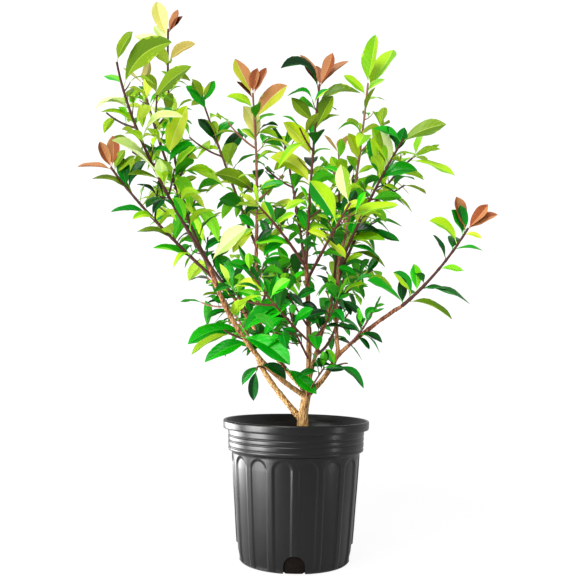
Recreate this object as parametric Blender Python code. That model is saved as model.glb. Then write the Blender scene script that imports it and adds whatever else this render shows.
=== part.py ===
"""Red tip photinia, about 1.1 m tall, growing in a black 3 gallon nursery pot.

Sizes are in millimetres and become metres when a mesh is made. +Z is up,
the front of the plant is -Y, and the origin is the middle of the flat
underside of the pot.
"""
import math
import random

import bpy
import bmesh
from mathutils import Matrix, Vector
from mathutils.bvhtree import BVHTree
from mathutils.kdtree import KDTree

MM = 0.001
GAP = 0.3
MERGE = 0.000001
TIP_FOUND = 0.0001

# The pot
POT_HEIGHT = 262.8
RIM_RADIUS = 140.0
LIP_DEPTH = 16.2
LIP_THICKNESS = 2.2
BAND_RADIUS_TOP = 130.5
BAND_RADIUS_FOOT = 128.9
BAND_FOOT = 207.0
BODY_TOP = 203.0
BODY_RADIUS_TOP = 122.5
BODY_RADIUS_FOOT = 106.6
BASE_RADIUS = 101.5
CORNER_HEIGHT = 6.0
WALL = 2.2
FLOOR = 3.0
FLUTES = 16
FLUTE_DEPTH = 2.5
FLUTE_SHOULDER = 186.0
FLUTE_TOP = 200.0
RIB_SHARE = 0.24
DRAINS = 4
DRAIN_WIDTH = 39.0
DRAIN_HEIGHT = 33.0
DRAIN_REACH = 92.0

# The potting mix
SOIL_TOP = 233.0
SOIL_CLEAR = 0.4

# The trunk: foot, middle, fork
TRUNK_PATH = ((14, 0, SOIL_TOP + GAP), (14, 0, 277), (22, 0, 317))
TRUNK_FOOT_RADIUS = 11.0
TRUNK_FORK_RADIUS = 7.8
TRUNK_SIDES = 10
FLARE = 0.55
FLARE_HEIGHT = 11.0

# Boughs: name, the limb it leaves, how far along that limb, middle, tip,
# radius at the foot and radius at the tip
BOUGHS = (
    ("bough_left_back", "trunk", 0.30, (-55, 35, 338), (-81, 50, 389), 5.9, 4.8),
    ("bough_centre", "trunk", 1.00, (22, 0, 435), (15, -10, 563), 5.5, 4.2),
    ("bough_front_left", "trunk", 0.86, (-90, -70, 404), (-161, -115, 545), 5.2, 4.2),
    ("bough_left_inner", "trunk", 0.95, (-54, 25, 397), (-138, 50, 513), 4.6, 3.8),
    ("bough_right", "trunk", 0.92, (54, -12, 346), (78, -25, 393), 5.5, 4.7),
    ("bough_centre_back", "bough_centre", 0.06, (43, 38, 411), (68, 70, 493), 4.5, 3.6),
    ("bough_right_rise", "bough_right", 1.00, (75, -5, 471), (82, 20, 584), 4.0, 3.4),
    ("bough_right_long", "bough_right", 0.92, (136, -50, 439), (193, -70, 480), 4.2, 3.6),
    ("bough_inner_rise", "bough_left_inner", 0.60, (-83, 50, 516), (-87, 70, 631), 3.8, 3.4),
)
BOUGH_SIDES = 6
BOUGH_STEP = 42.0

# Leafy shoots: name, the limb it leaves, how far along, middle, tip,
# bare share of its length, side twigs, leaf lengths low and high, kind of tip
SHOOTS = (
    ("shoot_outer_left", "bough_front_left", 0.93, (-261, -135, 626), (-338, -150, 716),
     0.14, 1, 62, 58, "shown"),
    ("shoot_front_left", "bough_front_left", 1.00, (-269, -165, 735), (-324, -190, 894),
     0.14, 2, 78, 66, "green"),
    ("shoot_left", "bough_front_left", 0.84, (-248, -80, 737), (-307, -45, 909),
     0.14, 3, 82, 66, "green"),
    ("shoot_tallest", "bough_left_inner", 1.00, (-242, 45, 718), (-273, 20, 1046),
     0.10, 4, 86, 64, "shown"),
    ("shoot_low_left", "bough_left_back", 1.00, (-124, 75, 460), (-191, 105, 546),
     0.20, 2, 74, 66, "green"),
    ("shoot_inner_left", "bough_inner_rise", 1.00, (-89, 50, 773), (-97, 10, 910),
     0.06, 2, 80, 66, "shown"),
    ("shoot_left_back", "bough_inner_rise", 0.90, (-148, 110, 759), (-216, 140, 940),
     0.10, 2, 80, 64, "green"),
    ("shoot_inner_front", "bough_centre", 0.97, (-34, -35, 621), (-78, -55, 668),
     0.30, 0, 60, 56, "green"),
    ("shoot_centre", "bough_centre", 1.00, (23, -25, 742), (36, -35, 914),
     0.06, 2, 84, 66, "shown"),
    ("shoot_centre_back", "bough_centre", 0.90, (-7, 60, 693), (-32, 115, 831),
     0.10, 2, 80, 66, "green"),
    ("shoot_front", "bough_centre", 0.88, (58, -75, 605), (92, -125, 662),
     0.20, 0, 76, 74, "green"),
    ("shoot_right_inner", "bough_right_rise", 1.00, (113, 45, 733), (139, 60, 951),
     0.06, 3, 84, 66, "shown"),
    ("shoot_right_front", "bough_right_rise", 0.90, (137, -20, 689), (196, -60, 799),
     0.16, 1, 80, 70, "green"),
    ("shoot_right_back", "bough_right_rise", 0.80, (156, 70, 701), (245, 115, 813),
     0.14, 2, 82, 70, "green"),
    ("shoot_back_rise", "bough_centre_back", 1.00, (83, 120, 652), (85, 160, 831),
     0.05, 3, 80, 66, "green"),
    ("shoot_outer_right", "bough_right_long", 1.00, (255, -90, 544), (310, -100, 623),
     0.10, 0, 62, 54, "shown"),
    ("shoot_low_front", "bough_right", 0.80, (-16, -95, 448), (-88, -140, 536),
     0.24, 2, 64, 60, "green"),
    ("shoot_low_middle", "bough_centre", 0.26, (3, -40, 415), (-18, -80, 454),
     0.30, 0, 56, 52, "green"),
    ("shoot_rear_left", "bough_left_inner", 0.30, (-70, 150, 480), (-60, 265, 700),
     0.18, 2, 82, 68, "green"),
    ("shoot_rear_right", "bough_centre_back", 0.35, (90, 165, 480), (105, 285, 690),
     0.18, 2, 82, 68, "green"),
    ("spray_left_low", "bough_front_left", 0.54, (-124, -92, 424), (-134, -100, 431),
     0.50, 0, 60, 60, "shown"),
    ("spray_low_left", "bough_front_left", 0.26, (-68, -52, 364), (-74, -62, 358),
     0.60, 0, 50, 46, "shown"),
    ("spray_fork_left", "bough_left_inner", 0.26, (-48, -20, 391), (-74, -50, 417),
     0.25, 0, 62, 58, "green"),
    ("spray_mid_left", "bough_left_inner", 0.74, (-107, 0, 482), (-127, -30, 512),
     0.20, 0, 64, 60, "green"),
    ("spray_mid_centre", "bough_centre", 0.52, (-6, -30, 480), (-30, -60, 520),
     0.20, 0, 60, 54, "green"),
    ("spray_mid_right", "bough_centre", 0.40, (52, -40, 444), (74, -70, 493),
     0.25, 0, 56, 50, "green"),
    ("spray_right_low", "bough_right_long", 0.16, (120, -60, 435), (137, -80, 468),
     0.18, 0, 42, 40, "green"),
    ("spray_mid_back", "bough_inner_rise", 0.28, (-48, 85, 540), (3, 120, 582),
     0.16, 1, 70, 64, "green"),
    ("spray_right_back", "bough_right_rise", 0.58, (112, 20, 528), (150, 50, 560),
     0.16, 0, 62, 56, "green"),
    ("spray_fork", "trunk", 0.80, (32, -24, 332), (52, -40, 364),
     0.30, 0, 44, 42, "green"),
    ("spray_right_fork", "bough_right", 0.66, (82, -32, 370), (96, -38, 372),
     0.50, 0, 42, 40, "shown"),
)
SHOOT_SIDES = 4
SHOOT_STEP = 40.0
SHOOT_FOOT_RADIUS = 3.2
SHOOT_TIP_RADIUS = 1.9

# Twigs and leaves
TWIG_LENGTH = (48.0, 82.0)
TWIG_FOOT_RADIUS = 2.1
TWIG_TIP_RADIUS = 1.6
TWIG_RINGS = 3
TWIG_LEAVES = 3
LEAF_PITCH = 36.0
SPRAY_PITCH = 15.0
TURN = math.radians(137.5)
LEAF_WIDTH = 0.42
LEAF_KEEL = 0.030
LEAF_SECTIONS = ((0.30, 0.93), (0.68, 0.90))
LEAF_ROLL = math.radians(50)
LEAF_CLEAR = 0.7
STALK = 0.14
TUFT_LEAVES = {"green": 3, "shown": 0}
TRIES = 5

# Leaves whose place on the plant is plain from the front: share of the
# shoot's length, bearing seen from the front (0 is right, 90 is up), length,
# lean (+ towards the front) and, where it stands edge on, its roll
SHOWN = {
    "shoot_outer_left": (
        (0.10, 162, 62, 10, 45), (0.23, 160, 62, 10, 45), (0.50, 58, 48, 5),
        (0.52, 156, 66, 10, 40), (0.68, 151, 68, 10, 40), (0.76, 60, 66, 10), (0.92, 62, 50, 0), (0.95, 30, 48, 20),
        (0.97, 176, 62, 5), (0.98, 118, 62, 5), (0.99, 95, 58, 0), (0.985, 146, 60, 10)),
    "shoot_front_left": (
        (0.62, 212, 50, 15, 30), (0.79, 200, 56, 10, 45), (0.84, 50, 112, 15), (0.97, 56, 54, 5)),
    "shoot_left": (
        (0.50, 58, 112, 5), (0.83, -30, 70, 15), (0.87, 40, 106, 10)),
    "shoot_tallest": (
        (0.16, 45, 100, 20), (0.36, 118, 72, 10), (0.93, 41, 72, 10), (0.94, 140, 42, 0),
        (0.96, 128, 40, 10), (0.975, 106, 84, 0), (0.985, 70, 60, 0), (0.99, 48, 50, 5)),
    "shoot_inner_left": (
        (0.03, 137, 52, 5), (0.04, 28, 52, 10), (0.05, 215, 46, 10), (0.27, 149, 100, 15),
        (0.29, 25, 60, 5), (0.31, -4, 60, 10), (0.65, 117, 80, 5), (0.80, 50, 98, 10),
        (0.88, 151, 64, 10), (0.96, 135, 56, 5), (0.975, 114, 92, 0), (0.985, 66, 64, 0),
        (0.99, 90, 56, -10)),
    "shoot_left_back": (
        (0.57, 60, 84, 10), (0.70, 125, 80, 0), (0.73, 51, 60, 0), (0.94, 128, 72, 0)),
    "shoot_inner_front": ((0.56, 215, 46, 10), (0.58, 38, 46, 10)),
    "shoot_centre": (
        (0.03, 172, 48, 10), (0.16, 109, 56, 5), (0.34, 198, 50, 10), (0.41, 141, 104, 12),
        (0.57, 127, 98, 10), (0.72, 66, 86, 10), (0.77, 131, 74, 10), (0.84, 32, 92, 15),
        (0.94, 150, 92, 15, 35), (0.97, 128, 66, 0), (0.975, 34, 64, 0), (0.98, 98, 62, 5),
        (0.985, 62, 64, 0), (0.99, 78, 50, -15)),
    "shoot_front": (
        (0.45, 152, 44, 5), (0.47, -46, 44, 5), (0.66, 121, 104, 12), (0.72, 20, 114, 8, 50),
        (0.80, 38, 46, 5), (0.97, 101, 82, 5)),
    "shoot_right_inner": (
        (0.05, -8, 76, 10, 60), (0.11, 8, 84, 12, 40), (0.16, -12, 70, 8, 20), (0.36, 40, 42, 10),
        (0.43, 50, 54, 5), (0.94, 132, 62, 5), (0.96, 40, 48, 5), (0.985, 74, 100, 0)),
    "shoot_right_front": (
        (0.62, 22, 80, 10), (0.76, 112, 88, 10), (0.95, 29, 100, 5), (0.97, 150, 62, 5)),
    "shoot_right_back": ((0.93, -14, 98, 5, 40),),
    "shoot_back_rise": ((0.85, 110, 52, 0),),
    "shoot_outer_right": (
        (0.01, 92, 58, 10), (0.03, 145, 90, 15, 55), (0.06, 5, 78, 20, 60), (0.13, 127, 60, 5),
        (0.20, 117, 54, 0), (0.27, -22, 84, 10, 45), (0.63, 117, 58, 5), (0.76, -22, 44, 5),
        (0.81, 133, 72, 5), (0.93, 122, 66, 0), (0.96, 92, 58, 5), (0.97, 10, 60, 5),
        (0.98, 62, 62, 5), (0.99, 38, 60, 0)),
    "shoot_low_front": ((0.44, 44, 52, 10), (0.66, 86, 60, 15)),
    "spray_left_low": ((0.97, 195, 70, 10), (0.90, 213, 58, 5), (0.70, 226, 68, 15)),
    "spray_low_left": ((0.95, 243, 68, 10), (0.90, -45, 50, 15), (0.60, -19, 50, 0)),
    "spray_fork_left": ((0.50, 165, 60, 20), (0.97, 48, 98, 5)),
    "spray_mid_centre": ((0.45, 147, 40, 10), (0.70, 157, 52, 10)),
    "spray_mid_right": ((0.72, 205, 54, 10), (0.95, 118, 42, 5)),
    "spray_right_back": ((0.10, 30, 58, 5, 60), (0.45, 29, 42, 10, 30)),
    "spray_fork": ((0.40, -60, 46, 20), (0.97, 62, 42, 5), (0.90, 10, 44, 5)),
    "spray_right_fork": ((0.80, -36, 66, 10), (0.60, 118, 40, 0)),
}


def vec(numbers):
    return Vector([float(n) for n in numbers])


def path_of(foot, middle, tip):
    """The three control points of a bend that passes through its middle."""
    return foot, middle * 2 - (foot + tip) / 2, tip


def point_on(path, share):
    foot, control, tip = path
    rest = 1 - share
    return foot * rest * rest + control * 2 * rest * share + tip * share * share


def heading_on(path, share):
    foot, control, tip = path
    return ((control - foot) * (1 - share) + (tip - control) * share).normalized()


def path_length(path):
    steps = 24
    points = [point_on(path, i / steps) for i in range(steps + 1)]
    return sum((b - a).length for a, b in zip(points, points[1:]))


def tube(path, start, foot_radius, tip_radius, sides, rings, flare=0.0, grow=0.0):
    """A closed tapering limb along a path, as corner points and faces."""
    points = []
    side_way = heading_on(path, start).orthogonal()
    length = path_length(path)
    for i in range(rings + 1):
        share = start + (1 - start) * i / rings
        centre = point_on(path, share)
        ahead = heading_on(path, share)
        if grow and i == 0:
            centre = centre - ahead * grow
        if grow and i == rings:
            centre = centre + ahead * grow
        radius = foot_radius + (tip_radius - foot_radius) * share + grow
        radius *= 1 + flare * math.exp(-share * length / FLARE_HEIGHT)
        side_way = (side_way - ahead * side_way.dot(ahead)).normalized()
        across = ahead.cross(side_way)
        for k in range(sides):
            turn = 2 * math.pi * k / sides
            points.append(centre + (side_way * math.cos(turn) + across * math.sin(turn)) * radius)
    faces = [tuple(range(sides - 1, -1, -1))]
    for i in range(rings):
        for k in range(sides):
            a = i * sides + k
            b = i * sides + (k + 1) % sides
            faces.append((a, b, b + sides, a + sides))
    faces.append(tuple(rings * sides + k for k in range(sides)))
    return points, faces


def leaf_solid(root, way, upper, length, width, droop, grow=0.0, skip=0.0):
    """One folded leaf: root, two three-cornered sections and a tip."""
    across = way.cross(upper).normalized()
    upper = across.cross(way).normalized()
    down = Vector((0.0, 0.0, -1.0))
    points = [root + way * length * skip + down * droop * length * skip * skip]
    for share, part in LEAF_SECTIONS:
        middle = root + way * length * share + down * droop * length * share * share
        half = width / 2 * part + grow
        keel = LEAF_KEEL * length + grow
        points.append(middle - across * half + upper * grow)
        points.append(middle + across * half + upper * grow)
        points.append(middle - upper * keel)
    points.append(root + way * (length + grow) + down * droop * length)
    faces = [(0, 2, 1), (0, 3, 2), (0, 1, 3),
             (1, 2, 5, 4), (2, 3, 6, 5), (3, 1, 4, 6),
             (7, 4, 5), (7, 5, 6), (7, 6, 4)]
    return points, faces


def tree_of(shape):
    return BVHTree.FromPolygons(shape[0], shape[1])


def touches(shape, trees):
    own = tree_of(shape)
    return any(own.overlap(tree) for tree in trees)


def rings_for(path, step):
    return max(2, round(path_length(path) / step))


class Plant:
    """Every limb, twig and leaf, grown one after the other."""

    def __init__(self):
        self.paths = {}
        self.trees = []
        self.starts = {}

    def clear_start(self, path, foot_radius, tip_radius, sides, rings):
        """The first place along the path where the limb's foot stands free."""
        near, far = 0.0, None
        share = 0.0
        while share < 0.5 and far is None:
            shape = tube(path, share, foot_radius, tip_radius, sides, rings, grow=GAP)
            if touches(shape, self.trees):
                near = share
                share += 0.01
            else:
                far = share
        if far is None:
            return None
        for _ in range(6):
            share = (near + far) / 2
            shape = tube(path, share, foot_radius, tip_radius, sides, rings, grow=GAP)
            if touches(shape, self.trees):
                near = share
            else:
                far = share
        return far

    def limb(self, name, parent, share, middle, tip, foot_radius, tip_radius, sides, step):
        foot = point_on(self.paths[parent], share)
        path = path_of(foot, vec(middle), vec(tip))
        rings = rings_for(path, step)
        start = self.clear_start(path, foot_radius, tip_radius, sides, rings)
        if start is None:
            raise RuntimeError("no free foot for " + name)
        self.paths[name] = path
        self.starts[name] = start
        return path, start, tube(path, start, foot_radius, tip_radius, sides, rings)


def leaf_ways(path, share, turn, spread, roll):
    """The way a leaf leaves its limb and the side that it turns up."""
    ahead = heading_on(path, share)
    side_way = ahead.orthogonal().normalized()
    side_way = Matrix.Rotation(turn, 3, ahead) @ side_way
    way = (ahead * math.cos(spread) + side_way * math.sin(spread)).normalized()
    upper = Vector((0, 0, 1)) + ahead * 0.3 + side_way * 0.3
    upper = upper - way * upper.dot(way)
    if upper.length < 0.15:
        upper = side_way - way * side_way.dot(way)
    upper = Matrix.Rotation(roll, 3, way) @ upper.normalized()
    return way, upper


def shown_ways(bearing, lean, roll, rng):
    """The same for a leaf that is given by its bearing from the front."""
    turn = math.radians(bearing)
    tip_lean = math.radians(lean)
    way = Vector((math.cos(turn) * math.cos(tip_lean), -math.sin(tip_lean),
                  math.sin(turn) * math.cos(tip_lean)))
    upper = Vector((rng.uniform(-0.3, 0.3), -0.85, 0.55))
    upper = (upper - way * upper.dot(way)).normalized()
    if roll:
        to_sky = Vector((0, -0.2, 1)) - way * way.dot(Vector((0, -0.2, 1)))
        upper = upper.lerp(to_sky.normalized(), roll / 90).normalized()
    return way, upper


class Spray:
    """One leafy shoot: its stem, twigs and leaves, kept clear of the rest."""

    def __init__(self, plant, name, path, start, stem, seed):
        self.plant = plant
        self.name = name
        self.path = path
        self.start = start
        self.shapes = [stem]
        self.blades = []
        self.leaves = []
        self.rng = random.Random(seed)

    def share_at(self, share):
        return self.start + (1 - self.start) * share

    def try_leaf(self, root, way, upper, length, droop, kind):
        width = length * LEAF_WIDTH * self.rng.uniform(0.9, 1.12)
        whole = leaf_solid(root, way, upper, length, width, droop, LEAF_CLEAR)
        blade = leaf_solid(root, way, upper, length, width, droop, LEAF_CLEAR, STALK)
        if touches(whole, self.plant.trees) or touches(blade, self.blades):
            return False
        self.blades.append(tree_of(leaf_solid(root, way, upper, length, width, droop, 0.0, STALK)))
        self.shapes.append(leaf_solid(root, way, upper, length, width, droop))
        self.leaves.append((root, way, upper, length, width, droop, kind))
        return True

    def shown_leaves(self):
        for share, bearing, length, lean, *turned_on_edge in SHOWN.get(self.name, ()):
            roll = sum(turned_on_edge)
            root = point_on(self.path, self.share_at(share))
            for k in range(TRIES):
                way, upper = shown_ways(bearing + 6 * k * (-1) ** k, lean, roll, self.rng)
                if self.try_leaf(root, way, upper, length, 0.10, "shown"):
                    break

    def row_of_leaves(self, path, first, last, count, low, high, turn):
        """Leaves in a spiral along a limb, smaller and steeper to its tip."""
        for i in range(count):
            along = i / max(1, count - 1)
            share = first + (last - first) * along
            length = (low + (high - low) * along) * self.rng.uniform(0.78, 1.15)
            spread = math.radians(62 - 22 * along + self.rng.uniform(-9, 9))
            droop = (0.46 - 0.30 * along) * self.rng.uniform(0.6, 1.3)
            roll = self.rng.uniform(-LEAF_ROLL, LEAF_ROLL)
            root = point_on(path, share)
            for k in range(TRIES):
                angle = turn + TURN * i + math.radians(24) * k * (-1) ** k
                way, upper = leaf_ways(path, share, angle, spread, roll)
                if way.z > -0.35 and self.try_leaf(root, way, upper, length, droop, "row"):
                    break

    def tuft(self, kind, length):
        """Young leaves that stand together at the tip."""
        count = TUFT_LEAVES[kind]
        for i in range(count):
            share = 0.995 - 0.004 * i
            root = point_on(self.path, share)
            spread = math.radians(30 + 6 * i)
            for k in range(TRIES):
                angle = math.pi * 2 / count * i + 0.5 + math.radians(17) * k * (-1) ** k
                way, upper = leaf_ways(self.path, share, angle, spread, 0.0)
                size = length * (0.94 - 0.09 * i)
                if self.try_leaf(root, way, upper, size, 0.06, kind):
                    break

    def twigs(self, count, bare, low, high):
        """Short side twigs with a few leaves each."""
        for i in range(count):
            share = self.share_at(bare + (0.80 - bare) * (i + 0.5) / count)
            foot = point_on(self.path, share)
            ahead = heading_on(self.path, share)
            for k in range(TRIES):
                angle = 2.4 * i + self.rng.uniform(-0.5, 0.5) + 0.5 * k
                length = self.rng.uniform(*TWIG_LENGTH)
                side_way = Matrix.Rotation(angle, 3, ahead) @ ahead.orthogonal().normalized()
                way = (ahead * 0.62 + side_way * 0.78).normalized()
                tip = foot + way * length + Vector((0, 0, 0.14 * length))
                path = path_of(foot, foot + way * length * 0.5, tip)
                grown = tube(path, 0.0, TWIG_FOOT_RADIUS, TWIG_TIP_RADIUS, 3, TWIG_RINGS, grow=LEAF_CLEAR)
                if tip.z < 300 or touches(grown, self.plant.trees + self.blades):
                    continue
                self.shapes.append(tube(path, 0.0, TWIG_FOOT_RADIUS, TWIG_TIP_RADIUS, 3, TWIG_RINGS))
                self.twig_paths.append(path)
                self.row_of_leaves(path, 0.35, 0.985, TWIG_LEAVES, low * 0.9, high * 0.85, angle)
                break

    def grow(self, bare, twig_count, low, high, kind):
        self.twig_paths = []
        self.shown_leaves()
        self.tuft(kind, high)
        self.twigs(twig_count, bare, low, high)
        length = path_length(self.path) * (1 - self.start) * (1 - bare)
        pitch = SPRAY_PITCH if self.name.startswith("spray") else LEAF_PITCH
        count = max(2, round(length / pitch))
        self.row_of_leaves(self.path, self.share_at(bare), self.share_at(0.95), count,
                           low, high, self.rng.uniform(0, 6))


def as_mesh_object(name, shape, material=None):
    mesh = bpy.data.meshes.new(name)
    mesh.from_pydata([p * MM for p in shape[0]], [], shape[1])
    obj = bpy.data.objects.new(name, mesh)
    bpy.context.scene.collection.objects.link(obj)
    if material:
        mesh.materials.append(material)
    mesh.validate()
    return obj


def plain_material(name, colour, roughness):
    material = bpy.data.materials.new(name)
    material.use_nodes = True
    shader = material.node_tree.nodes["Principled BSDF"]
    shader.inputs["Base Color"].default_value = (*colour, 1.0)
    shader.inputs["Roughness"].default_value = roughness
    material.diffuse_color = (*colour, 1.0)
    return material


def keep_largest(obj):
    """Drop loose scraps and inner skins that a union can leave."""
    work = bmesh.new()
    work.from_mesh(obj.data)
    bmesh.ops.remove_doubles(work, verts=work.verts, dist=MERGE)
    bmesh.ops.dissolve_degenerate(work, dist=MERGE, edges=work.edges)
    left = set(work.faces)
    groups = []
    while left:
        group = [left.pop()]
        for face in group:
            for edge in face.edges:
                fresh = [other for other in edge.link_faces if other in left]
                left.difference_update(fresh)
                group += fresh
        groups.append(group)
    groups.sort(key=len)
    scraps = [face for group in groups[:-1] for face in group]
    bmesh.ops.delete(work, geom=scraps, context="FACES")
    bmesh.ops.recalc_face_normals(work, faces=work.faces)
    work.to_mesh(obj.data)
    work.free()


def boolean(obj, others, operation, solver="EXACT"):
    """Apply one boolean with a collection of helpers, then remove them."""
    group = bpy.data.collections.new("helpers")
    for other in others:
        group.objects.link(other)
    change = obj.modifiers.new("join", "BOOLEAN")
    change.operation = operation
    change.operand_type = "COLLECTION"
    change.collection = group
    change.solver = solver
    bpy.context.view_layer.update()
    graph = bpy.context.evaluated_depsgraph_get()
    result = bpy.data.meshes.new_from_object(obj.evaluated_get(graph))
    obj.modifiers.clear()
    obj.data = result
    for other in others:
        bpy.data.objects.remove(other)
    bpy.data.collections.remove(group)


def is_whole(mass, spray):
    """Whether the union is closed and still holds the tip of every leaf."""
    work = bmesh.new()
    work.from_mesh(mass.data)
    closed = all(len(edge.link_faces) == 2 for edge in work.edges)
    work.free()
    places = KDTree(len(mass.data.vertices))
    for k, vertex in enumerate(mass.data.vertices):
        places.insert(vertex.co, k)
    places.balance()
    down = Vector((0.0, 0.0, -1.0))
    tips = [root + way * length + down * droop * length
            for root, way, upper, length, width, droop, kind in spray.leaves]
    return closed and all(places.find(tip * MM)[2] < TIP_FOUND for tip in tips)


def join_mass(spray, material):
    """Fuse the stem, twigs and leaves of one shoot into one closed body."""
    for solver in ("EXACT", "MANIFOLD"):
        mass = as_mesh_object(spray.name, spray.shapes[0], material)
        others = [as_mesh_object("%s_%d" % (spray.name, k), shape)
                  for k, shape in enumerate(spray.shapes[1:])]
        boolean(mass, others, "UNION", solver)
        keep_largest(mass)
        if is_whole(mass, spray) or solver == "MANIFOLD":
            break
        bpy.data.objects.remove(mass)


def pot_angles():
    """Four corners for each flute: rib edge, flute edge, flute edge, rib edge."""
    pitch = 2 * math.pi / FLUTES
    angles = []
    for k in range(FLUTES):
        centre = -math.pi / 2 + pitch * (k + 0.5)
        half = pitch / 2
        for part, deep in ((-1 + RIB_SHARE, 0), (-1 + 1.7 * RIB_SHARE, 1),
                           (1 - 1.7 * RIB_SHARE, 1), (1 - RIB_SHARE, 0)):
            angles.append((centre + half * part, deep))
    return angles


def turned(rows, every=1):
    """A round body from rows of height, radius and share of flute depth."""
    angles = pot_angles()[::every]
    count = len(angles)
    points = []
    for height, radius, fluted in rows:
        for angle, deep in angles:
            r = radius - FLUTE_DEPTH * fluted * deep
            points.append(Vector((r * math.cos(angle), r * math.sin(angle), height)))
    faces = []
    for i in range(len(rows) - 1):
        for k in range(count):
            a = i * count + k
            b = i * count + (k + 1) % count
            faces.append((a, b, b + count, a + count))
    faces.append(tuple(range(count - 1, -1, -1)))
    faces.append(tuple((len(rows) - 1) * count + k for k in range(count)))
    return points, faces


def body_radius(height):
    share = (height - CORNER_HEIGHT) / (BODY_TOP - CORNER_HEIGHT)
    return BODY_RADIUS_FOOT + (BODY_RADIUS_TOP - BODY_RADIUS_FOOT) * share


def inner_rows(top_height):
    """Rows up the inside of the wall, from the floor."""
    band_slope = (BAND_RADIUS_TOP - BAND_RADIUS_FOOT) / (POT_HEIGHT - LIP_DEPTH - BAND_FOOT)
    top_radius = BAND_RADIUS_FOOT + band_slope * (top_height - BAND_FOOT)
    return [
        (FLOOR, body_radius(FLOOR) - WALL - 0.6, 1.0),
        (FLUTE_SHOULDER, body_radius(FLUTE_SHOULDER) - WALL, 1.0),
        (FLUTE_TOP, body_radius(FLUTE_TOP) - WALL, 0.0),
        (BODY_TOP + 1.0, BODY_RADIUS_TOP - WALL, 0.0),
        (BAND_FOOT + 1.0, BAND_RADIUS_FOOT - WALL, 0.0),
        (top_height, top_radius - WALL, 0.0),
    ]


def pot_solid():
    lip_foot = POT_HEIGHT - LIP_DEPTH
    lip_under = POT_HEIGHT - LIP_THICKNESS
    rows = [
        (0.0, BASE_RADIUS, 1.0),
        (CORNER_HEIGHT, BODY_RADIUS_FOOT, 1.0),
        (FLUTE_SHOULDER, body_radius(FLUTE_SHOULDER), 1.0),
        (FLUTE_TOP, body_radius(FLUTE_TOP), 0.0),
        (BODY_TOP, BODY_RADIUS_TOP, 0.0),
        (BAND_FOOT, BAND_RADIUS_FOOT, 0.0),
        (lip_under, BAND_RADIUS_TOP, 0.0),
        (lip_under, RIM_RADIUS - LIP_THICKNESS - 0.4, 0.0),
        (lip_foot, RIM_RADIUS - LIP_THICKNESS, 0.0),
        (lip_foot, RIM_RADIUS - 0.6, 0.0),
        (POT_HEIGHT - 3.0, RIM_RADIUS, 0.0),
        (POT_HEIGHT, RIM_RADIUS - 3.0, 0.0),
        (POT_HEIGHT, BAND_RADIUS_TOP + 1.5, 0.0),
        (POT_HEIGHT - 2.0, BAND_RADIUS_TOP - WALL + 0.2, 0.0),
    ]
    inside = inner_rows(lip_foot)
    inside.reverse()
    return turned(rows + inside)


def soil_solid():
    """The filling, which meets the wall at the flutes and above them."""
    rows = []
    for height, radius, fluted in inner_rows(SOIL_TOP):
        if height == FLUTE_SHOULDER:
            continue
        if height <= FLUTE_TOP:
            radius -= FLUTE_DEPTH
        rows.append((max(height, FLOOR + GAP), radius - SOIL_CLEAR, 0.0))
    return turned(rows, 2)


def drain_cutter(angle):
    """An arch-topped block that opens the wall and the edge of the floor."""
    half = DRAIN_WIDTH / 2
    spring = DRAIN_HEIGHT - half
    outline = [(-half, -5.0), (half, -5.0)]
    steps = 8
    for i in range(steps + 1):
        turn = math.pi * i / steps
        outline.append((half * math.cos(turn), spring + half * math.sin(turn)))
    points = []
    spin = Matrix.Rotation(angle, 3, "Z")
    for reach in (DRAIN_REACH, RIM_RADIUS):
        points += [spin @ Vector((reach, x, z)) for x, z in outline]
    count = len(outline)
    faces = [tuple(range(count - 1, -1, -1)), tuple(range(count, 2 * count))]
    for k in range(count):
        after = (k + 1) % count
        faces.append((k, after, after + count, k + count))
    return points, faces


def build():
    for obj in list(bpy.data.objects):
        bpy.data.objects.remove(obj)
    bark = plain_material("photinia_bark", (0.36, 0.23, 0.12), 0.8)
    leaf = plain_material("photinia_leaf", (0.05, 0.30, 0.03), 0.45)
    plastic = plain_material("pot_plastic", (0.012, 0.012, 0.012), 0.5)
    mix = plain_material("potting_mix", (0.05, 0.03, 0.02), 0.95)

    pot = as_mesh_object("pot", pot_solid(), plastic)
    cutters = [as_mesh_object("drain_%d" % k, drain_cutter(-math.pi / 2 + 2 * math.pi * k / DRAINS))
               for k in range(DRAINS)]
    boolean(pot, cutters, "DIFFERENCE")
    keep_largest(pot)
    as_mesh_object("soil", soil_solid(), mix)

    plant = Plant()
    foot, middle, tip = [vec(p) for p in TRUNK_PATH]
    plant.paths["trunk"] = path_of(foot, middle, tip)
    trunk = tube(plant.paths["trunk"], 0.0, TRUNK_FOOT_RADIUS, TRUNK_FORK_RADIUS,
                 TRUNK_SIDES, 6, FLARE)
    for point in trunk[0][:TRUNK_SIDES]:
        point.z = foot.z
    as_mesh_object("trunk", trunk, bark)
    plant.trees.append(tree_of(trunk))

    for name, parent, share, middle, tip, foot_radius, tip_radius in BOUGHS:
        path, start, shape = plant.limb(name, parent, share, middle, tip, foot_radius,
                                        tip_radius, BOUGH_SIDES, BOUGH_STEP)
        as_mesh_object(name, shape, bark)
        plant.trees.append(tree_of(shape))

    sprays = []
    for name, parent, share, middle, tip, *_ in SHOOTS:
        path, start, shape = plant.limb(name, parent, share, middle, tip, SHOOT_FOOT_RADIUS,
                                        SHOOT_TIP_RADIUS, SHOOT_SIDES, SHOOT_STEP)
        plant.trees.append(tree_of(shape))
        sprays.append(Spray(plant, name, path, start, shape, 11 + len(sprays)))
    stem_trees = plant.trees[-len(SHOOTS):]
    for spray, row in zip(sprays, SHOOTS):
        bare, twig_count, low, high, kind = row[5:]
        own = stem_trees[sprays.index(spray)]
        plant.trees.remove(own)
        spray.grow(bare, twig_count, low, high, kind)
        plant.trees.append(own)
        plant.trees += [tree_of(shape) for shape in spray.shapes[1:]]
        join_mass(spray, leaf)
    return plant, sprays


PLANT, SPRAYS = build()
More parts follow.
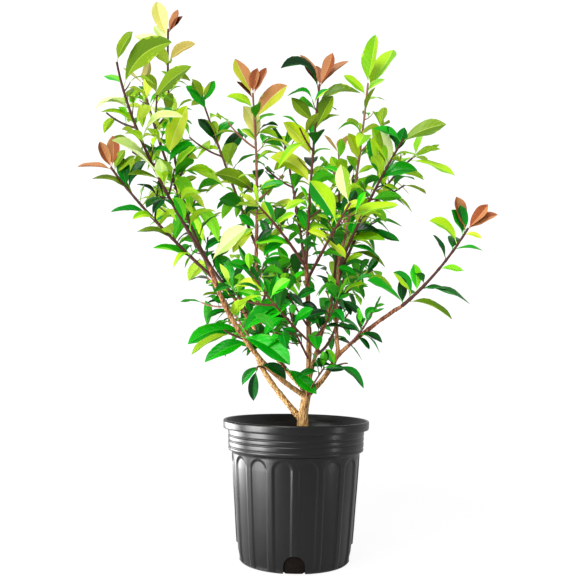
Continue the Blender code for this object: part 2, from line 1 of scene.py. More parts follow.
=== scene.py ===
# %% [markdown]
# # A red tip photinia in its nursery pot
# This lesson dresses a plain model of a potted evergreen shrub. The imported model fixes
# where the pot, the stems and every leafy shoot stand, and holds them as coarse solids.
# Here each of them gets its real surface: bark with relief, waxy leaves with a fold
# along the midrib, and satin black plastic with its moulded flutes.

# %% Load the fixed frame
import math
import random
from collections import namedtuple

import bmesh
import bpy
from mathutils import Matrix, Vector, noise
from mathutils.bvhtree import BVHTree


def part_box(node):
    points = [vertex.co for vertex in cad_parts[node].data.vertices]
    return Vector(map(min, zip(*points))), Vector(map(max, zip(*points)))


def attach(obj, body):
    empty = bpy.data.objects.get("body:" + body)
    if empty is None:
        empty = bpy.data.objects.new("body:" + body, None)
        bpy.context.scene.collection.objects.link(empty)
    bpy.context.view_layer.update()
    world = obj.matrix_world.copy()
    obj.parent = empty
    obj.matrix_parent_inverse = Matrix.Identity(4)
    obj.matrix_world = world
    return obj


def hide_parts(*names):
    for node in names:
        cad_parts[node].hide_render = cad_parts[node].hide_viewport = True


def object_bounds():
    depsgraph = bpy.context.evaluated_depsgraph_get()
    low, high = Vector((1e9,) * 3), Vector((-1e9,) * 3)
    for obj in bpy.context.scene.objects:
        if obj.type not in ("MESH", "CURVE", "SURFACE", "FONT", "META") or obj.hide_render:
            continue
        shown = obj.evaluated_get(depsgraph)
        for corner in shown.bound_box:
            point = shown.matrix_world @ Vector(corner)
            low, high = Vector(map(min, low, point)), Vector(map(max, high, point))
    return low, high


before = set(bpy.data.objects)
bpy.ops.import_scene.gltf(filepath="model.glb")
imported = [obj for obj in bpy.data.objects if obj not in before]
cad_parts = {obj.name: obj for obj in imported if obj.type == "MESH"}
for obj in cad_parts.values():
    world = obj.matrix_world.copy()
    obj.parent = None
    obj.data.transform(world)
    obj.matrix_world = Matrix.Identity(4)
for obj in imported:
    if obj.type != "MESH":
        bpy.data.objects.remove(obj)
cad_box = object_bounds()
MM = 0.001
print("The frame has", len(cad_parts), "nodes and stands", round(cad_box[1].z, 3), "m tall")

# %% [markdown]
# ## The camera
# The photograph looks straight at the front of the plant from 1.5 m away, at about the
# height of its lowest leaves, and tilts up a little to take in the top. A pinhole camera
# fitted to the pot's rim and foot gives the place, the tilt and the focal length below.

# %% Set the camera
PICTURE_WIDTH = 576
FOCAL_LENGTH_PIXELS = 770
SENSOR_WIDTH = 36.0
CAMERA_PLACE = (0.0, -1.5, 0.39)
CAMERA_TURN = math.radians(0.754)
CAMERA_RISE = math.radians(4.823)
CAMERA_ROLL = math.radians(0.893)

turned = (Matrix.Rotation(CAMERA_TURN, 3, "Z") @ Matrix.Rotation(CAMERA_RISE, 3, "X")
          @ Matrix.Rotation(math.radians(90), 3, "X") @ Matrix.Rotation(CAMERA_ROLL, 3, "Z"))
camera_data = bpy.data.cameras.new("camera")
camera_data.sensor_width = SENSOR_WIDTH
camera_data.lens = SENSOR_WIDTH * FOCAL_LENGTH_PIXELS / PICTURE_WIDTH
camera = bpy.data.objects.new("camera", camera_data)
bpy.context.scene.collection.objects.link(camera)
camera.matrix_world = Matrix.Translation(CAMERA_PLACE) @ turned.to_4x4()
bpy.context.scene.camera = camera
print("The camera's lens is", round(camera_data.lens, 2), "mm")

# %% [markdown]
# ## Colours and finishes
# Every finish starts as a Principled shader, which mixes a matt body colour with a clear
# gloss, as paint, plastic and leaf wax do. Real surfaces are never even, so noise that is
# fixed to the model varies the colour or gloss, and a bump raises fine relief from it.
# Colours are written as sRGB hex, the way a colour picker shows them, and one function
# turns them to the linear light that the renderer adds up. A second function adds one node
# with its settings and its links, and gives a colour ramp its stops.

# %% Helpers for colours and nodes
def linear(hex_colour):
    """An sRGB hex colour as linear red, green and blue, and an alpha of 1."""
    channels = []
    for first in (1, 3, 5):
        value = int(hex_colour[first:first + 2], 16) / 255
        channels.append(value / 12.92 if value <= 0.04045 else ((value + 0.055) / 1.055) ** 2.4)
    return (*channels, 1.0)


def add_node(owner, kind, settings=None, links=None, stops=()):
    """Add one node, set its values, connect outputs to it, and colour the stops of a ramp."""
    node = owner.node_tree.nodes.new(kind)
    for name, value in (settings or {}).items():
        if isinstance(name, int) or name in node.inputs:
            node.inputs[name].default_value = value
        else:
            setattr(node, name, value)
    for name, output in (links or {}).items():
        owner.node_tree.links.new(output, node.inputs[name])
    for _ in stops[2:]:
        node.color_ramp.elements.new(0.5)
    for number, (position, hex_colour) in enumerate(stops):
        node.color_ramp.elements[number].position = position
        node.color_ramp.elements[number].color = linear(hex_colour)
    return node


def new_finish(name, colour, roughness, ior=1.45, specular=0.5):
    """A material with one Principled shader, and that shader."""
    material = bpy.data.materials.new(name)
    material.use_nodes = True
    material.diffuse_color = linear(colour)
    shader = material.node_tree.nodes["Principled BSDF"]
    shader.inputs["Base Color"].default_value = linear(colour)
    shader.inputs["Roughness"].default_value = roughness
    shader.inputs["IOR"].default_value = ior
    shader.inputs["Specular IOR Level"].default_value = specular
    return material, shader


def feed(material, shader, socket, output):
    material.node_tree.links.new(output, shader.inputs[socket])


print("Leaf green in linear light is", [round(c, 3) for c in linear("#0A8A10")])

# %% [markdown]
# ## Piles of small shapes
# A shrub has thousands of small shapes. Blender handles one large mesh far better than
# thousands of objects, so leaves of one colour are gathered in a pile of points and faces
# and become one joined mesh at the end. The pile also notes which shoots it stands for.

# %% A pile becomes one mesh
def held_in_box(point):
    """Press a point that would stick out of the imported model's box back to its side."""
    return Vector(min(max(value, low), high) for value, low, high in zip(point, *cad_box))


class Pile:
    """Points in millimetres, faces, the material slot of each face and a UV for each point."""

    def __init__(self):
        self.points = []
        self.faces = []
        self.slots = []
        self.places = []
        self.shoots = set()

    def add(self, points, faces, slots=None, places=None):
        first = len(self.points)
        self.points += points
        self.faces += [tuple(first + k for k in face) for face in faces]
        self.slots += slots or [0] * len(faces)
        self.places += places or [(0.0, 0.0)] * len(points)

    def as_piece(self, name, finishes, sharp_angle=50):
        """Make the mesh object, smooth but for edges sharper than an angle."""
        mesh = bpy.data.meshes.new(name)
        mesh.from_pydata([held_in_box(p * MM) for p in self.points], [], self.faces)
        for finish in finishes:
            mesh.materials.append(finish)
        mesh.polygons.foreach_set("material_index", self.slots)
        layer = mesh.uv_layers.new(name="blade")
        corners = [self.places[loop.vertex_index] for loop in mesh.loops]
        layer.data.foreach_set("uv", [value for pair in corners for value in pair])
        mesh.shade_smooth()
        mesh.set_sharp_from_angle(angle=math.radians(sharp_angle))
        piece = bpy.data.objects.new(name, mesh)
        bpy.context.scene.collection.objects.link(piece)
        return piece


def dress(piece, nodes):
    """Let a piece ride on the plant and stand for nodes, whose plain solids it hides."""
    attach(piece, "root")
    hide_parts(*sorted(nodes))
    piece.data.calc_loop_triangles()
    print(piece.name, "has", len(piece.data.loop_triangles), "triangles for", len(nodes), "nodes")

# %% [markdown]
# ## Limbs follow bent paths
# Each stem of the shrub is one gentle bend, given by its foot, its middle and its tip in
# millimetres. A quadratic Bezier curve through these three is enough, and a tapering tube
# along it makes the limb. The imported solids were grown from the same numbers, so the fine
# limbs here lie where the plain ones were.

# %% The trunk and the boughs
GAP = 0.3
SOIL_TOP = 233.0
TRUNK_PATH = ((14, 0, SOIL_TOP + GAP), (14, 0, 277), (22, 0, 317))
TRUNK_FOOT_RADIUS = 11.0
TRUNK_FORK_RADIUS = 7.8
TRUNK_SIDES = 10
TRUNK_RINGS = 6
FLARE = 0.55
FLARE_HEIGHT = 11.0

# Name, the limb it leaves, how far along that limb, middle, tip, radius at foot and tip
BOUGHS = (
    ("bough_left_back", "trunk", 0.30, (-55, 35, 338), (-81, 50, 389), 5.9, 4.8),
    ("bough_centre", "trunk", 1.00, (22, 0, 435), (15, -10, 563), 5.5, 4.2),
    ("bough_front_left", "trunk", 0.86, (-90, -70, 404), (-161, -115, 545), 5.2, 4.2),
    ("bough_left_inner", "trunk", 0.95, (-54, 25, 397), (-138, 50, 513), 4.6, 3.8),
    ("bough_right", "trunk", 0.92, (54, -12, 346), (78, -25, 393), 5.5, 4.7),
    ("bough_centre_back", "bough_centre", 0.06, (43, 38, 411), (68, 70, 493), 4.5, 3.6),
    ("bough_right_rise", "bough_right", 1.00, (75, -5, 471), (82, 20, 584), 4.0, 3.4),
    ("bough_right_long", "bough_right", 0.92, (136, -50, 439), (193, -70, 480), 4.2, 3.6),
    ("bough_inner_rise", "bough_left_inner", 0.60, (-83, 50, 516), (-87, 70, 631), 3.8, 3.4),
)
BOUGH_SIDES = 6
BOUGH_STEP = 42.0
LENGTH_STEPS = 24


def vec(numbers):
    return Vector([float(n) for n in numbers])


def path_of(foot, middle, tip):
    """The three control points of a bend that passes through its middle."""
    return foot, middle * 2 - (foot + tip) / 2, tip


def point_on(path, share):
    foot, control, tip = path
    rest = 1 - share
    return foot * rest * rest + control * 2 * rest * share + tip * share * share


def heading_on(path, share):
    foot, control, tip = path
    return ((control - foot) * (1 - share) + (tip - control) * share).normalized()


def path_length(path):
    points = [point_on(path, i / LENGTH_STEPS) for i in range(LENGTH_STEPS + 1)]
    return sum((b - a).length for a, b in zip(points, points[1:]))


def rings_for(path, step):
    return max(2, round(path_length(path) / step))


print("The plant has a trunk and", len(BOUGHS), "boughs")

# %% [markdown]
# ## The leafy shoots
# Thirty-one leafy shoots make the crown. Each leaves a bough at its tip or side and bends
# outwards and up, and the longest carry short side twigs. The last word of a row says if
# the tuft at its tip grows by rule ("green") or is listed ("shown").

# %% The table of shoots
# Name, the bough it leaves, how far along that bough, middle, tip, bare share at the foot,
# side twigs, length of the leaves low and high on it, tuft
SHOOTS = (
    ("shoot_outer_left", "bough_front_left", 0.93, (-261, -135, 626), (-338, -150, 716),
     0.14, 1, 62, 58, "shown"),
    ("shoot_front_left", "bough_front_left", 1.00, (-269, -165, 735), (-324, -190, 894),
     0.14, 2, 78, 66, "green"),
    ("shoot_left", "bough_front_left", 0.84, (-248, -80, 737), (-307, -45, 909),
     0.14, 3, 82, 66, "green"),
    ("shoot_tallest", "bough_left_inner", 1.00, (-242, 45, 718), (-273, 20, 1046),
     0.10, 4, 86, 64, "shown"),
    ("shoot_low_left", "bough_left_back", 1.00, (-124, 75, 460), (-191, 105, 546),
     0.20, 2, 74, 66, "green"),
    ("shoot_inner_left", "bough_inner_rise", 1.00, (-89, 50, 773), (-97, 10, 910),
     0.06, 2, 80, 66, "shown"),
    ("shoot_left_back", "bough_inner_rise", 0.90, (-148, 110, 759), (-216, 140, 940),
     0.10, 2, 80, 64, "green"),
    ("shoot_inner_front", "bough_centre", 0.97, (-34, -35, 621), (-78, -55, 668),
     0.30, 0, 60, 56, "green"),
    ("shoot_centre", "bough_centre", 1.00, (23, -25, 742), (36, -35, 914),
     0.06, 2, 84, 66, "shown"),
    ("shoot_centre_back", "bough_centre", 0.90, (-7, 60, 693), (-32, 115, 831),
     0.10, 2, 80, 66, "green"),
    ("shoot_front", "bough_centre", 0.88, (58, -75, 605), (92, -125, 662),
     0.20, 0, 76, 74, "green"),
    ("shoot_right_inner", "bough_right_rise", 1.00, (113, 45, 733), (139, 60, 951),
     0.06, 3, 84, 66, "shown"),
    ("shoot_right_front", "bough_right_rise", 0.90, (137, -20, 689), (196, -60, 799),
     0.16, 1, 80, 70, "green"),
    ("shoot_right_back", "bough_right_rise", 0.80, (156, 70, 701), (245, 115, 813),
     0.14, 2, 82, 70, "green"),
    ("shoot_back_rise", "bough_centre_back", 1.00, (83, 120, 652), (85, 160, 831),
     0.05, 3, 80, 66, "green"),
    ("shoot_outer_right", "bough_right_long", 1.00, (255, -90, 544), (310, -100, 623),
     0.10, 0, 62, 54, "shown"),
    ("shoot_low_front", "bough_right", 0.80, (-16, -95, 448), (-88, -140, 536),
     0.24, 2, 64, 60, "green"),
    ("shoot_low_middle", "bough_centre", 0.26, (3, -40, 415), (-18, -80, 454),
     0.30, 0, 56, 52, "green"),
    ("shoot_rear_left", "bough_left_inner", 0.30, (-70, 150, 480), (-60, 265, 700),
     0.18, 2, 82, 68, "green"),
    ("shoot_rear_right", "bough_centre_back", 0.35, (90, 165, 480), (105, 285, 690),
     0.18, 2, 82, 68, "green"),
    ("spray_left_low", "bough_front_left", 0.54, (-124, -92, 424), (-134, -100, 431),
     0.50, 0, 60, 60, "shown"),
    ("spray_low_left", "bough_front_left", 0.26, (-68, -52, 364), (-74, -62, 358),
     0.60, 0, 50, 46, "shown"),
    ("spray_fork_left", "bough_left_inner", 0.26, (-48, -20, 391), (-74, -50, 417),
     0.25, 0, 62, 58, "green"),
    ("spray_mid_left", "bough_left_inner", 0.74, (-107, 0, 482), (-127, -30, 512),
     0.20, 0, 64, 60, "green"),
    ("spray_mid_centre", "bough_centre", 0.52, (-6, -30, 480), (-30, -60, 520),
     0.20, 0, 60, 54, "green"),
    ("spray_mid_right", "bough_centre", 0.40, (52, -40, 444), (74, -70, 493),
     0.25, 0, 56, 50, "green"),
    ("spray_right_low", "bough_right_long", 0.16, (120, -60, 435), (137, -80, 468),
     0.18, 0, 42, 40, "green"),
    ("spray_mid_back", "bough_inner_rise", 0.28, (-48, 85, 540), (3, 120, 582),
     0.16, 1, 70, 64, "green"),
    ("spray_right_back", "bough_right_rise", 0.58, (112, 20, 528), (150, 50, 560),
     0.16, 0, 62, 56, "green"),
    ("spray_fork", "trunk", 0.80, (32, -24, 332), (52, -40, 364),
     0.30, 0, 44, 42, "green"),
    ("spray_right_fork", "bough_right", 0.66, (82, -32, 370), (96, -38, 372),
     0.50, 0, 42, 40, "shown"),
)
FIRST_SEED = 11
SHOOT_SIDES = 4
SHOOT_STEP = 40.0
SHOOT_FOOT_RADIUS = 3.2
SHOOT_TIP_RADIUS = 1.9
TWIG_LENGTH = (48.0, 82.0)
TWIG_FOOT_RADIUS = 2.1
TWIG_TIP_RADIUS = 1.6
TWIG_RINGS = 3
TWIG_LEAVES = 3
print("The crown has", len(SHOOTS), "leafy shoots")

# %% [markdown]
# ## Leaves that everyone sees
# Most leaves follow a spiral rule, but the ones that stand out against the white ground
# give the plant its face: the copper tufts at the shoot tips and the large pale leaves in
# front. These are listed one by one, each with its share of the shoot's length, its bearing
# seen from the front (0 is right, 90 is up), its length, its lean to the front, its roll
# where it stands edge on, and the colour it has.

# %% The leaves that stand out
# Share of the shoot, bearing, length, lean, roll, tone
SHOWN = {
    "shoot_outer_left": (
        (0.10, 162, 62, 10, 45, "mid"), (0.23, 160, 62, 10, 45, "mid"), (0.50, 58, 48, 5, 0, "dark"),
        (0.52, 156, 66, 10, 40, "mid"), (0.68, 151, 68, 10, 40, "mid"), (0.76, 60, 66, 10, 0, "dark"),
        (0.92, 62, 50, 0, 0, "olive"), (0.95, 30, 48, 20, 0, "olive"), (0.97, 176, 62, 5, 0, "copper"),
        (0.98, 118, 62, 5, 0, "copper"), (0.99, 95, 58, 0, 0, "copper"),
        (0.985, 146, 60, 10, 0, "copper")),
    "shoot_front_left": (
        (0.62, 212, 50, 15, 30, "dark"), (0.79, 200, 56, 10, 45, "pale"), (0.84, 50, 112, 15, 0, "olive"),
        (0.97, 56, 54, 5, 0, "olive")),
    "shoot_left": (
        (0.50, 58, 112, 5, 0, "olive"), (0.83, -30, 70, 15, 0, "pale"), (0.87, 40, 106, 10, 0, "olive")),
    "shoot_tallest": (
        (0.16, 45, 100, 20, 0, "pale"), (0.36, 118, 72, 10, 0, "mid"), (0.93, 41, 72, 10, 0, "cream"),
        (0.94, 140, 42, 0, 0, "pale"), (0.96, 128, 40, 10, 0, "pale"), (0.975, 106, 84, 0, 0, "cream"),
        (0.985, 70, 60, 0, 0, "copper"), (0.99, 48, 50, 5, 0, "bronze")),
    "shoot_inner_left": (
        (0.03, 137, 52, 5, 0, "mid"), (0.04, 28, 52, 10, 0, "mid"), (0.05, 215, 46, 10, 0, "bright"),
        (0.27, 149, 100, 15, 0, "olive"), (0.29, 25, 60, 5, 0, "bright"), (0.31, -4, 60, 10, 0, "mid"),
        (0.65, 117, 80, 5, 0, "cream"), (0.80, 50, 98, 10, 0, "yellow"), (0.88, 151, 64, 10, 0, "bright"),
        (0.96, 135, 56, 5, 0, "olive"), (0.975, 114, 92, 0, 0, "yellow"), (0.985, 66, 64, 0, 0, "copper"),
        (0.99, 90, 56, -10, 0, "copper")),
    "shoot_left_back": (
        (0.57, 60, 84, 10, 0, "dark"), (0.70, 125, 80, 0, 0, "dark"), (0.73, 51, 60, 0, 0, "mid"),
        (0.94, 128, 72, 0, 0, "mid")),
    "shoot_inner_front": ((0.56, 215, 46, 10, 0, "dark"), (0.58, 38, 46, 10, 0, "bright")),
    "shoot_centre": (
        (0.03, 172, 48, 10, 0, "mid"), (0.16, 109, 56, 5, 0, "mid"), (0.34, 198, 50, 10, 0, "bright"),
        (0.41, 141, 104, 12, 0, "yellow"), (0.57, 127, 98, 10, 0, "yellow"),
        (0.72, 66, 86, 10, 0, "olive"), (0.77, 131, 74, 10, 0, "olive"), (0.84, 32, 92, 15, 0, "olive"),
        (0.94, 150, 92, 15, 35, "dark"), (0.97, 128, 66, 0, 0, "copper"), (0.975, 34, 64, 0, 0, "copper"),
        (0.98, 98, 62, 5, 0, "copper"), (0.985, 62, 64, 0, 0, "copper"),
        (0.99, 78, 50, -15, 0, "copper")),
    "shoot_front": (
        (0.45, 152, 44, 5, 0, "yellow"), (0.47, -46, 44, 5, 0, "yellow"),
        (0.66, 121, 104, 12, 0, "sunlit"), (0.72, 20, 114, 8, 50, "bright"),
        (0.80, 38, 46, 5, 0, "yellow"), (0.97, 101, 82, 5, 0, "split")),
    "shoot_right_inner": (
        (0.05, -8, 76, 10, 60, "mid"), (0.11, 8, 84, 12, 40, "bright"), (0.16, -12, 70, 8, 20, "dark"),
        (0.36, 40, 42, 10, 0, "yellow"), (0.43, 50, 54, 5, 0, "bright"), (0.94, 132, 62, 5, 0, "bright"),
        (0.96, 40, 48, 5, 0, "bright"), (0.985, 74, 100, 0, 0, "bright")),
    "shoot_right_front": (
        (0.62, 22, 80, 10, 0, "mid"), (0.76, 112, 88, 10, 0, "bright"), (0.95, 29, 100, 5, 0, "olive"),
        (0.97, 150, 62, 5, 0, "mid")),
    "shoot_right_back": ((0.93, -14, 98, 5, 40, "bright"),),
    "shoot_back_rise": ((0.85, 110, 52, 0, 0, "bright"),),
    "shoot_outer_right": (
        (0.01, 92, 58, 10, 0, "dark"), (0.03, 145, 90, 15, 55, "mid"), (0.06, 5, 78, 20, 60, "mid"),
        (0.13, 127, 60, 5, 0, "mid"), (0.20, 117, 54, 0, 0, "pale"), (0.27, -22, 84, 10, 45, "dark"),
        (0.63, 117, 58, 5, 0, "dark"), (0.76, -22, 44, 5, 0, "mid"), (0.81, 133, 72, 5, 0, "bright"),
        (0.93, 122, 66, 0, 0, "dark"), (0.96, 92, 58, 5, 0, "copper"), (0.97, 10, 60, 5, 0, "copper"),
        (0.98, 62, 62, 5, 0, "copper"), (0.99, 38, 60, 0, 0, "copper")),
    "shoot_low_front": ((0.44, 44, 52, 10, 0, "mid"), (0.66, 86, 60, 15, 0, "mid")),
    "spray_left_low": (
        (0.97, 195, 70, 10, 0, "mid"), (0.90, 213, 58, 5, 0, "dark"), (0.70, 226, 68, 15, 0, "mid")),
    "spray_low_left": (
        (0.95, 243, 68, 10, 0, "dark"), (0.90, -45, 50, 15, 0, "dark"), (0.60, -19, 50, 0, 0, "dark")),
    "spray_fork_left": ((0.50, 165, 60, 20, 0, "mid"), (0.97, 48, 98, 5, 0, "mid")),
    "spray_mid_centre": ((0.45, 147, 40, 10, 0, "dark"), (0.70, 157, 52, 10, 0, "olive")),
    "spray_mid_right": ((0.72, 205, 54, 10, 0, "dark"), (0.95, 118, 42, 5, 0, "mid")),
    "spray_right_back": ((0.10, 30, 58, 5, 60, "bright"), (0.45, 29, 42, 10, 30, "mid")),
    "spray_fork": (
        (0.40, -60, 46, 20, 0, "mid"), (0.97, 62, 42, 5, 0, "dark"), (0.90, 10, 44, 5, 0, "dark")),
    "spray_right_fork": ((0.80, -36, 66, 10, 0, "mid"), (0.60, 118, 40, 0, 0, "dark")),
}
print("Leaves listed by hand:", sum(len(rows) for rows in SHOWN.values()))

# %% [markdown]
# ## A second look at the photograph
# The imported solids keep a gap around every leaf, so some leaves of the photograph found
# no room there. A picture needs no such gaps. The rows below add those leaves and set
# others right. A row may end with how far the blade arches, as a share of its length, and
# with which half of the blade takes the tone that paints light shining through it. A later
# row takes the place of every leaf that has the same root, and a row with a share alone
# only takes it away. A second list holds spots where the photograph shows open sky.

# %% Later leaves that stand out
# Share of the shoot, bearing, length, lean, roll, tone, arch, halves changed over
LATER = {
    "shoot_outer_left": (
        (0.97, 171, 64, 5, 45, "copper"), (0.98, 112, 58, 10, 0, "copper"),
        (0.99, 90, 66, 0, 60, "copper"), (0.985,), (0.95, 64, 48, 10, 0, "olive"),
        (0.92, 48, 52, 5, 0, "olive"), (0.77, 100, 66, 0, 0, "deep"), (0.68, 152, 88, 5, 60, "olive"),
        (0.52, 172, 70, 5, 50, "deep"), (0.23, 157, 86, 5, 60, "olive"), (0.10, 158, 84, 5, 50, "fresh")),
    "shoot_front_left": (
        (0.84, 44, 128, 15, 0, "olive", 0.17), (0.995, 62, 66, 15, 0, "olive", 0.14), (0.97,),
        (0.72, 163, 60, 5, 40, "pale"), (0.62, 150, 74, 10, 50, "bright", 0.25),
        (0.37, 137, 118, 25, 60, "pale", 0.16), (0.57, 32, 90, 12, 30, "pale", 0.30),
        (0.33, 97, 64, 25, -10, "pale"), (0.38, 168, 58, 15, 50, "olive"),
        (0.18, 108, 56, 25, 0, "fresh")),
    "shoot_tallest": (
        (0.16, 46, 122, 24, 0, "pale", 0.06), (0.02, 82, 58, 25, 0, "mid"), (0.08, 65, 50, 20, 0, "deep"),
        (0.22, 38, 58, 5, 0, "deep"), (0.26, 97, 76, 20, 0, "fresh"), (0.30, 46, 80, 15, 55, "olive"),
        (0.45, 28, 62, 10, 60, "olive"), (0.50, 40, 44, 10, 0, "olive"),
        (0.935, 147, 86, -5, 0, "pale", 0.05), (0.56, 5, 82, 10, 50, "bright"),
        (0.60, 42, 58, 15, 0, "mid"), (0.62, 75, 68, 15, 0, "sunlit"), (0.93,),
        (0.905, 38, 74, 10, 0, "ochre", 0.18), (0.94,), (0.96, 126, 52, 0, 0, "pale", 0.10),
        (0.975, 106, 88, 5, 0, "cream"), (0.985, 70, 60, 8, 0, "copper"),
        (0.99, 48, 48, 15, 0, "bronze")),
    "shoot_left": (
        (0.87,), (0.80, 46, 124, 15, 0, "olive", 0.15), (0.50, 70, 122, 15, -32, "yellow", 0.06),
        (0.48, 45, 68, 10, 0, "mid"), (0.40,)),
    "shoot_outer_right": (
        (0.96, 106, 74, 10, 35, "copper", 0.10), (0.97, 33, 66, 10, 10, "copper"),
        (0.98, 56, 64, 15, 0, "copper"), (0.99,), (0.93, 101, 60, 15, 0, "deep"),
        (0.90, 112, 60, 10, 0, "mid"), (0.81, 137, 74, 10, 0, "bright"), (0.63, 115, 58, 5, 65, "dark"),
        (0.76, 4, 52, 5, 70, "mid"), (0.92, -5, 32, 10, 0, "yellow"), (0.20, 97, 60, 10, 0, "fresh"),
        (0.13, 125, 64, 12, 0, "sunlit"), (0.27, -13, 90, 5, 60, "deep"),
        (0.06, -16, 86, 10, 60, "olive"), (0.25, 8, 50, 5, 50, "deep")),
    "shoot_low_left": (
        (0.14, 198, 100, 15, 0, "mid", 0.14), (0.24, 183, 122, 12, 28, "mid", 0.13),
        (0.76, 172, 42, 15, 60, "olive"), (0.72, 185, 36, 15, 50, "dark"),
        (0.55, 186, 58, 20, 40, "deep"), (0.62, 150, 44, 15, 30, "mid")),
    "shoot_inner_left": (
        (0.01, 220, 64, 20, 0, "yellow"), (0.12, -60, 50, 20, 0, "deep"), (0.65, 108, 86, 18, 0, "cream"),
        (0.80, 51, 106, 10, 0, "blush", 0.16, True), (0.96, 131, 52, 5, 55, "bronze"),
        (0.975, 113, 96, 0, 20, "blush", 0.12, False), (0.985, 67, 68, 5, 25, "copper"),
        (0.99, 82, 62, 0, 50, "copper")),
    "shoot_left_back": (
        (0.92, 127, 68, 5, 0, "mid"), (0.985, 112, 60, 0, 0, "olive"), (0.975, 66, 60, 5, 0, "mid")),
    "shoot_centre": (
        (0.94, 150, 98, 30, 25, "dark", 0.44), (0.84, 26, 96, 10, 20, "olive", 0.30),
        (0.97, 116, 86, 0, 50, "copper", 0.10), (0.975, 48, 86, 0, -35, "copper", 0.10),
        (0.98, 71, 78, 10, 15, "copper"), (0.985, 97, 52, -10, 60, "copper")),
    "shoot_inner_front": ((0.20, 168, 80, 20, 30, "fresh"), (0.30, 205, 56, 20, 0, "mid")),
    "shoot_right_front": (
        (0.70, 97, 90, 15, 0, "split"), (0.90, 112, 54, 10, 0, "deep"), (0.86, 72, 62, 5, 0, "deep"),
        (0.66, 106, 88, 15, 0, "sunlit")),
    "shoot_right_back": (
        (0.10, -14, 76, 5, 60, "olive", 0.20), (0.04, 32, 44, 10, 20, "bright"),
        (0.22, -2, 86, 10, 30, "deep", 0.14)),
    "shoot_right_inner": (
        (0.00, 132, 62, 25, 0, "yellow"), (0.62, 109, 70, 10, 0, "yellow"),
        (0.55, 28, 44, 10, 0, "bright"), (0.985, 83, 122, 4, -30, "bright", 0.04),
        (0.965, 64, 142, -18, -42, "bright", 0.04), (0.94, 134, 70, 5, 20, "bright")),
    "shoot_low_front": (
        (0.52, 214, 50, 25, 0, "mid"), (0.72, 47, 58, 25, 0, "fresh"), (0.86, 130, 52, 20, 0, "deep"),
        (0.95, 150, 50, 20, 0, "mid")),
    "spray_left_low": (
        (0.02, -22, 108, 20, 0, "mid", 0.08), (0.04, 38, 125, 12, 0, "mid", 0.08), (0.70,), (0.97,),
        (0.90,), (0.30, 203, 80, 15, 60, "olive", 0.14)),
    "spray_mid_left": (
        (0.97, 8, 60, 15, 0, "yellow"), (0.90, -14, 58, 15, 0, "fresh"), (0.60, 170, 52, 20, 30, "deep")),
    "spray_fork_left": (
        (0.97,), (0.60, 130, 50, 20, 0, "deep"), (0.02, -33, 80, 25, 0, "mid", 0.05)),
    "spray_mid_back": ((0.97, 178, 76, 25, 20, "mid"), (0.80, 120, 56, 20, 0, "fresh")),
    "spray_mid_centre": (
        (0.80, -38, 42, 20, 0, "dark"), (0.50, 35, 56, 25, 0, "deep"), (0.42, -15, 48, 20, 0, "dark")),
    "spray_right_back": (
        (0.02, -30, 48, 15, 0, "dark"), (0.05, -58, 36, 10, 0, "dark"), (0.60, 150, 56, 25, 0, "mid"),
        (0.80, 60, 50, 20, 0, "deep")),
    "spray_right_low": (
        (0.30, 100, 42, 15, 0, "deep"), (0.24, 158, 36, 10, 0, "dark"), (0.20, -14, 46, 10, 30, "dark"),
        (0.10, -40, 32, 10, 0, "dark")),
    "spray_low_left": (
        (0.95, 265, 54, 15, 0, "dark", 0.14), (0.90,), (0.60,), (0.12, 221, 48, 20, 30, "deep"),
        (0.50, -18, 56, 10, 0, "dark")),
    "spray_fork": (
        (0.60,), (0.40,), (0.80, 191, 50, 20, 45, "deep", 0.20), (0.97, 80, 38, 10, 0, "dark")),
    "spray_right_fork": (
        (0.80,), (0.60,), (0.02, -30, 66, 12, 45, "deep", 0.22), (0.06, 174, 46, 20, 40, "dark", 0.10),
        (0.10, 118, 44, 20, 0, "fresh")),
}
# Middle and radius of each spot of open sky, in pixels of the photograph
SKY = (
    (112, 66, 6), (101, 80, 10), (128, 79, 6), (88, 104, 6), (218, 110, 6),
    (370, 252, 7), (385, 262, 10), (375, 289, 9), (368, 301, 9),
    (351, 338, 5), (345, 320, 5), (364, 344, 6), (332, 357, 7),
    (342, 360, 9), (328, 375, 7), (332, 384, 8), (313, 388, 5), (357, 350, 7),
)
print("Later leaves listed by hand:", sum(len(rows) for rows in LATER.values()))
print("Spots of open sky:", len(SKY))

# %% [markdown]
# ## Plain shapes to grow with
# The growth rule must know what is already in the way. It tests plain stand-ins, a tube
# for a limb and a folded eight-cornered leaf, against everything that has grown so far.
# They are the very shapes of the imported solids, so each leaf lands where its solid is.

# %% Plain limb and plain leaf
# Share of the leaf's length and share of its half width at its two sections
LEAF_SECTIONS = ((0.30, 0.93), (0.68, 0.90))
LEAF_KEEL = 0.030
PLAIN_LEAF_FACES = ((0, 2, 1), (0, 3, 2), (0, 1, 3), (1, 2, 5, 4), (2, 3, 6, 5), (3, 1, 4, 6),
                    (7, 4, 5), (7, 5, 6), (7, 6, 4))


def band(low, high, count, flipped=False):
    """Four-cornered faces from one closed ring of points to another."""
    faces = []
    for k in range(count):
        a, b = low + k, low + (k + 1) % count
        c, d = high + (k + 1) % count, high + k
        faces.append((b, a, d, c) if flipped else (a, b, c, d))
    return faces


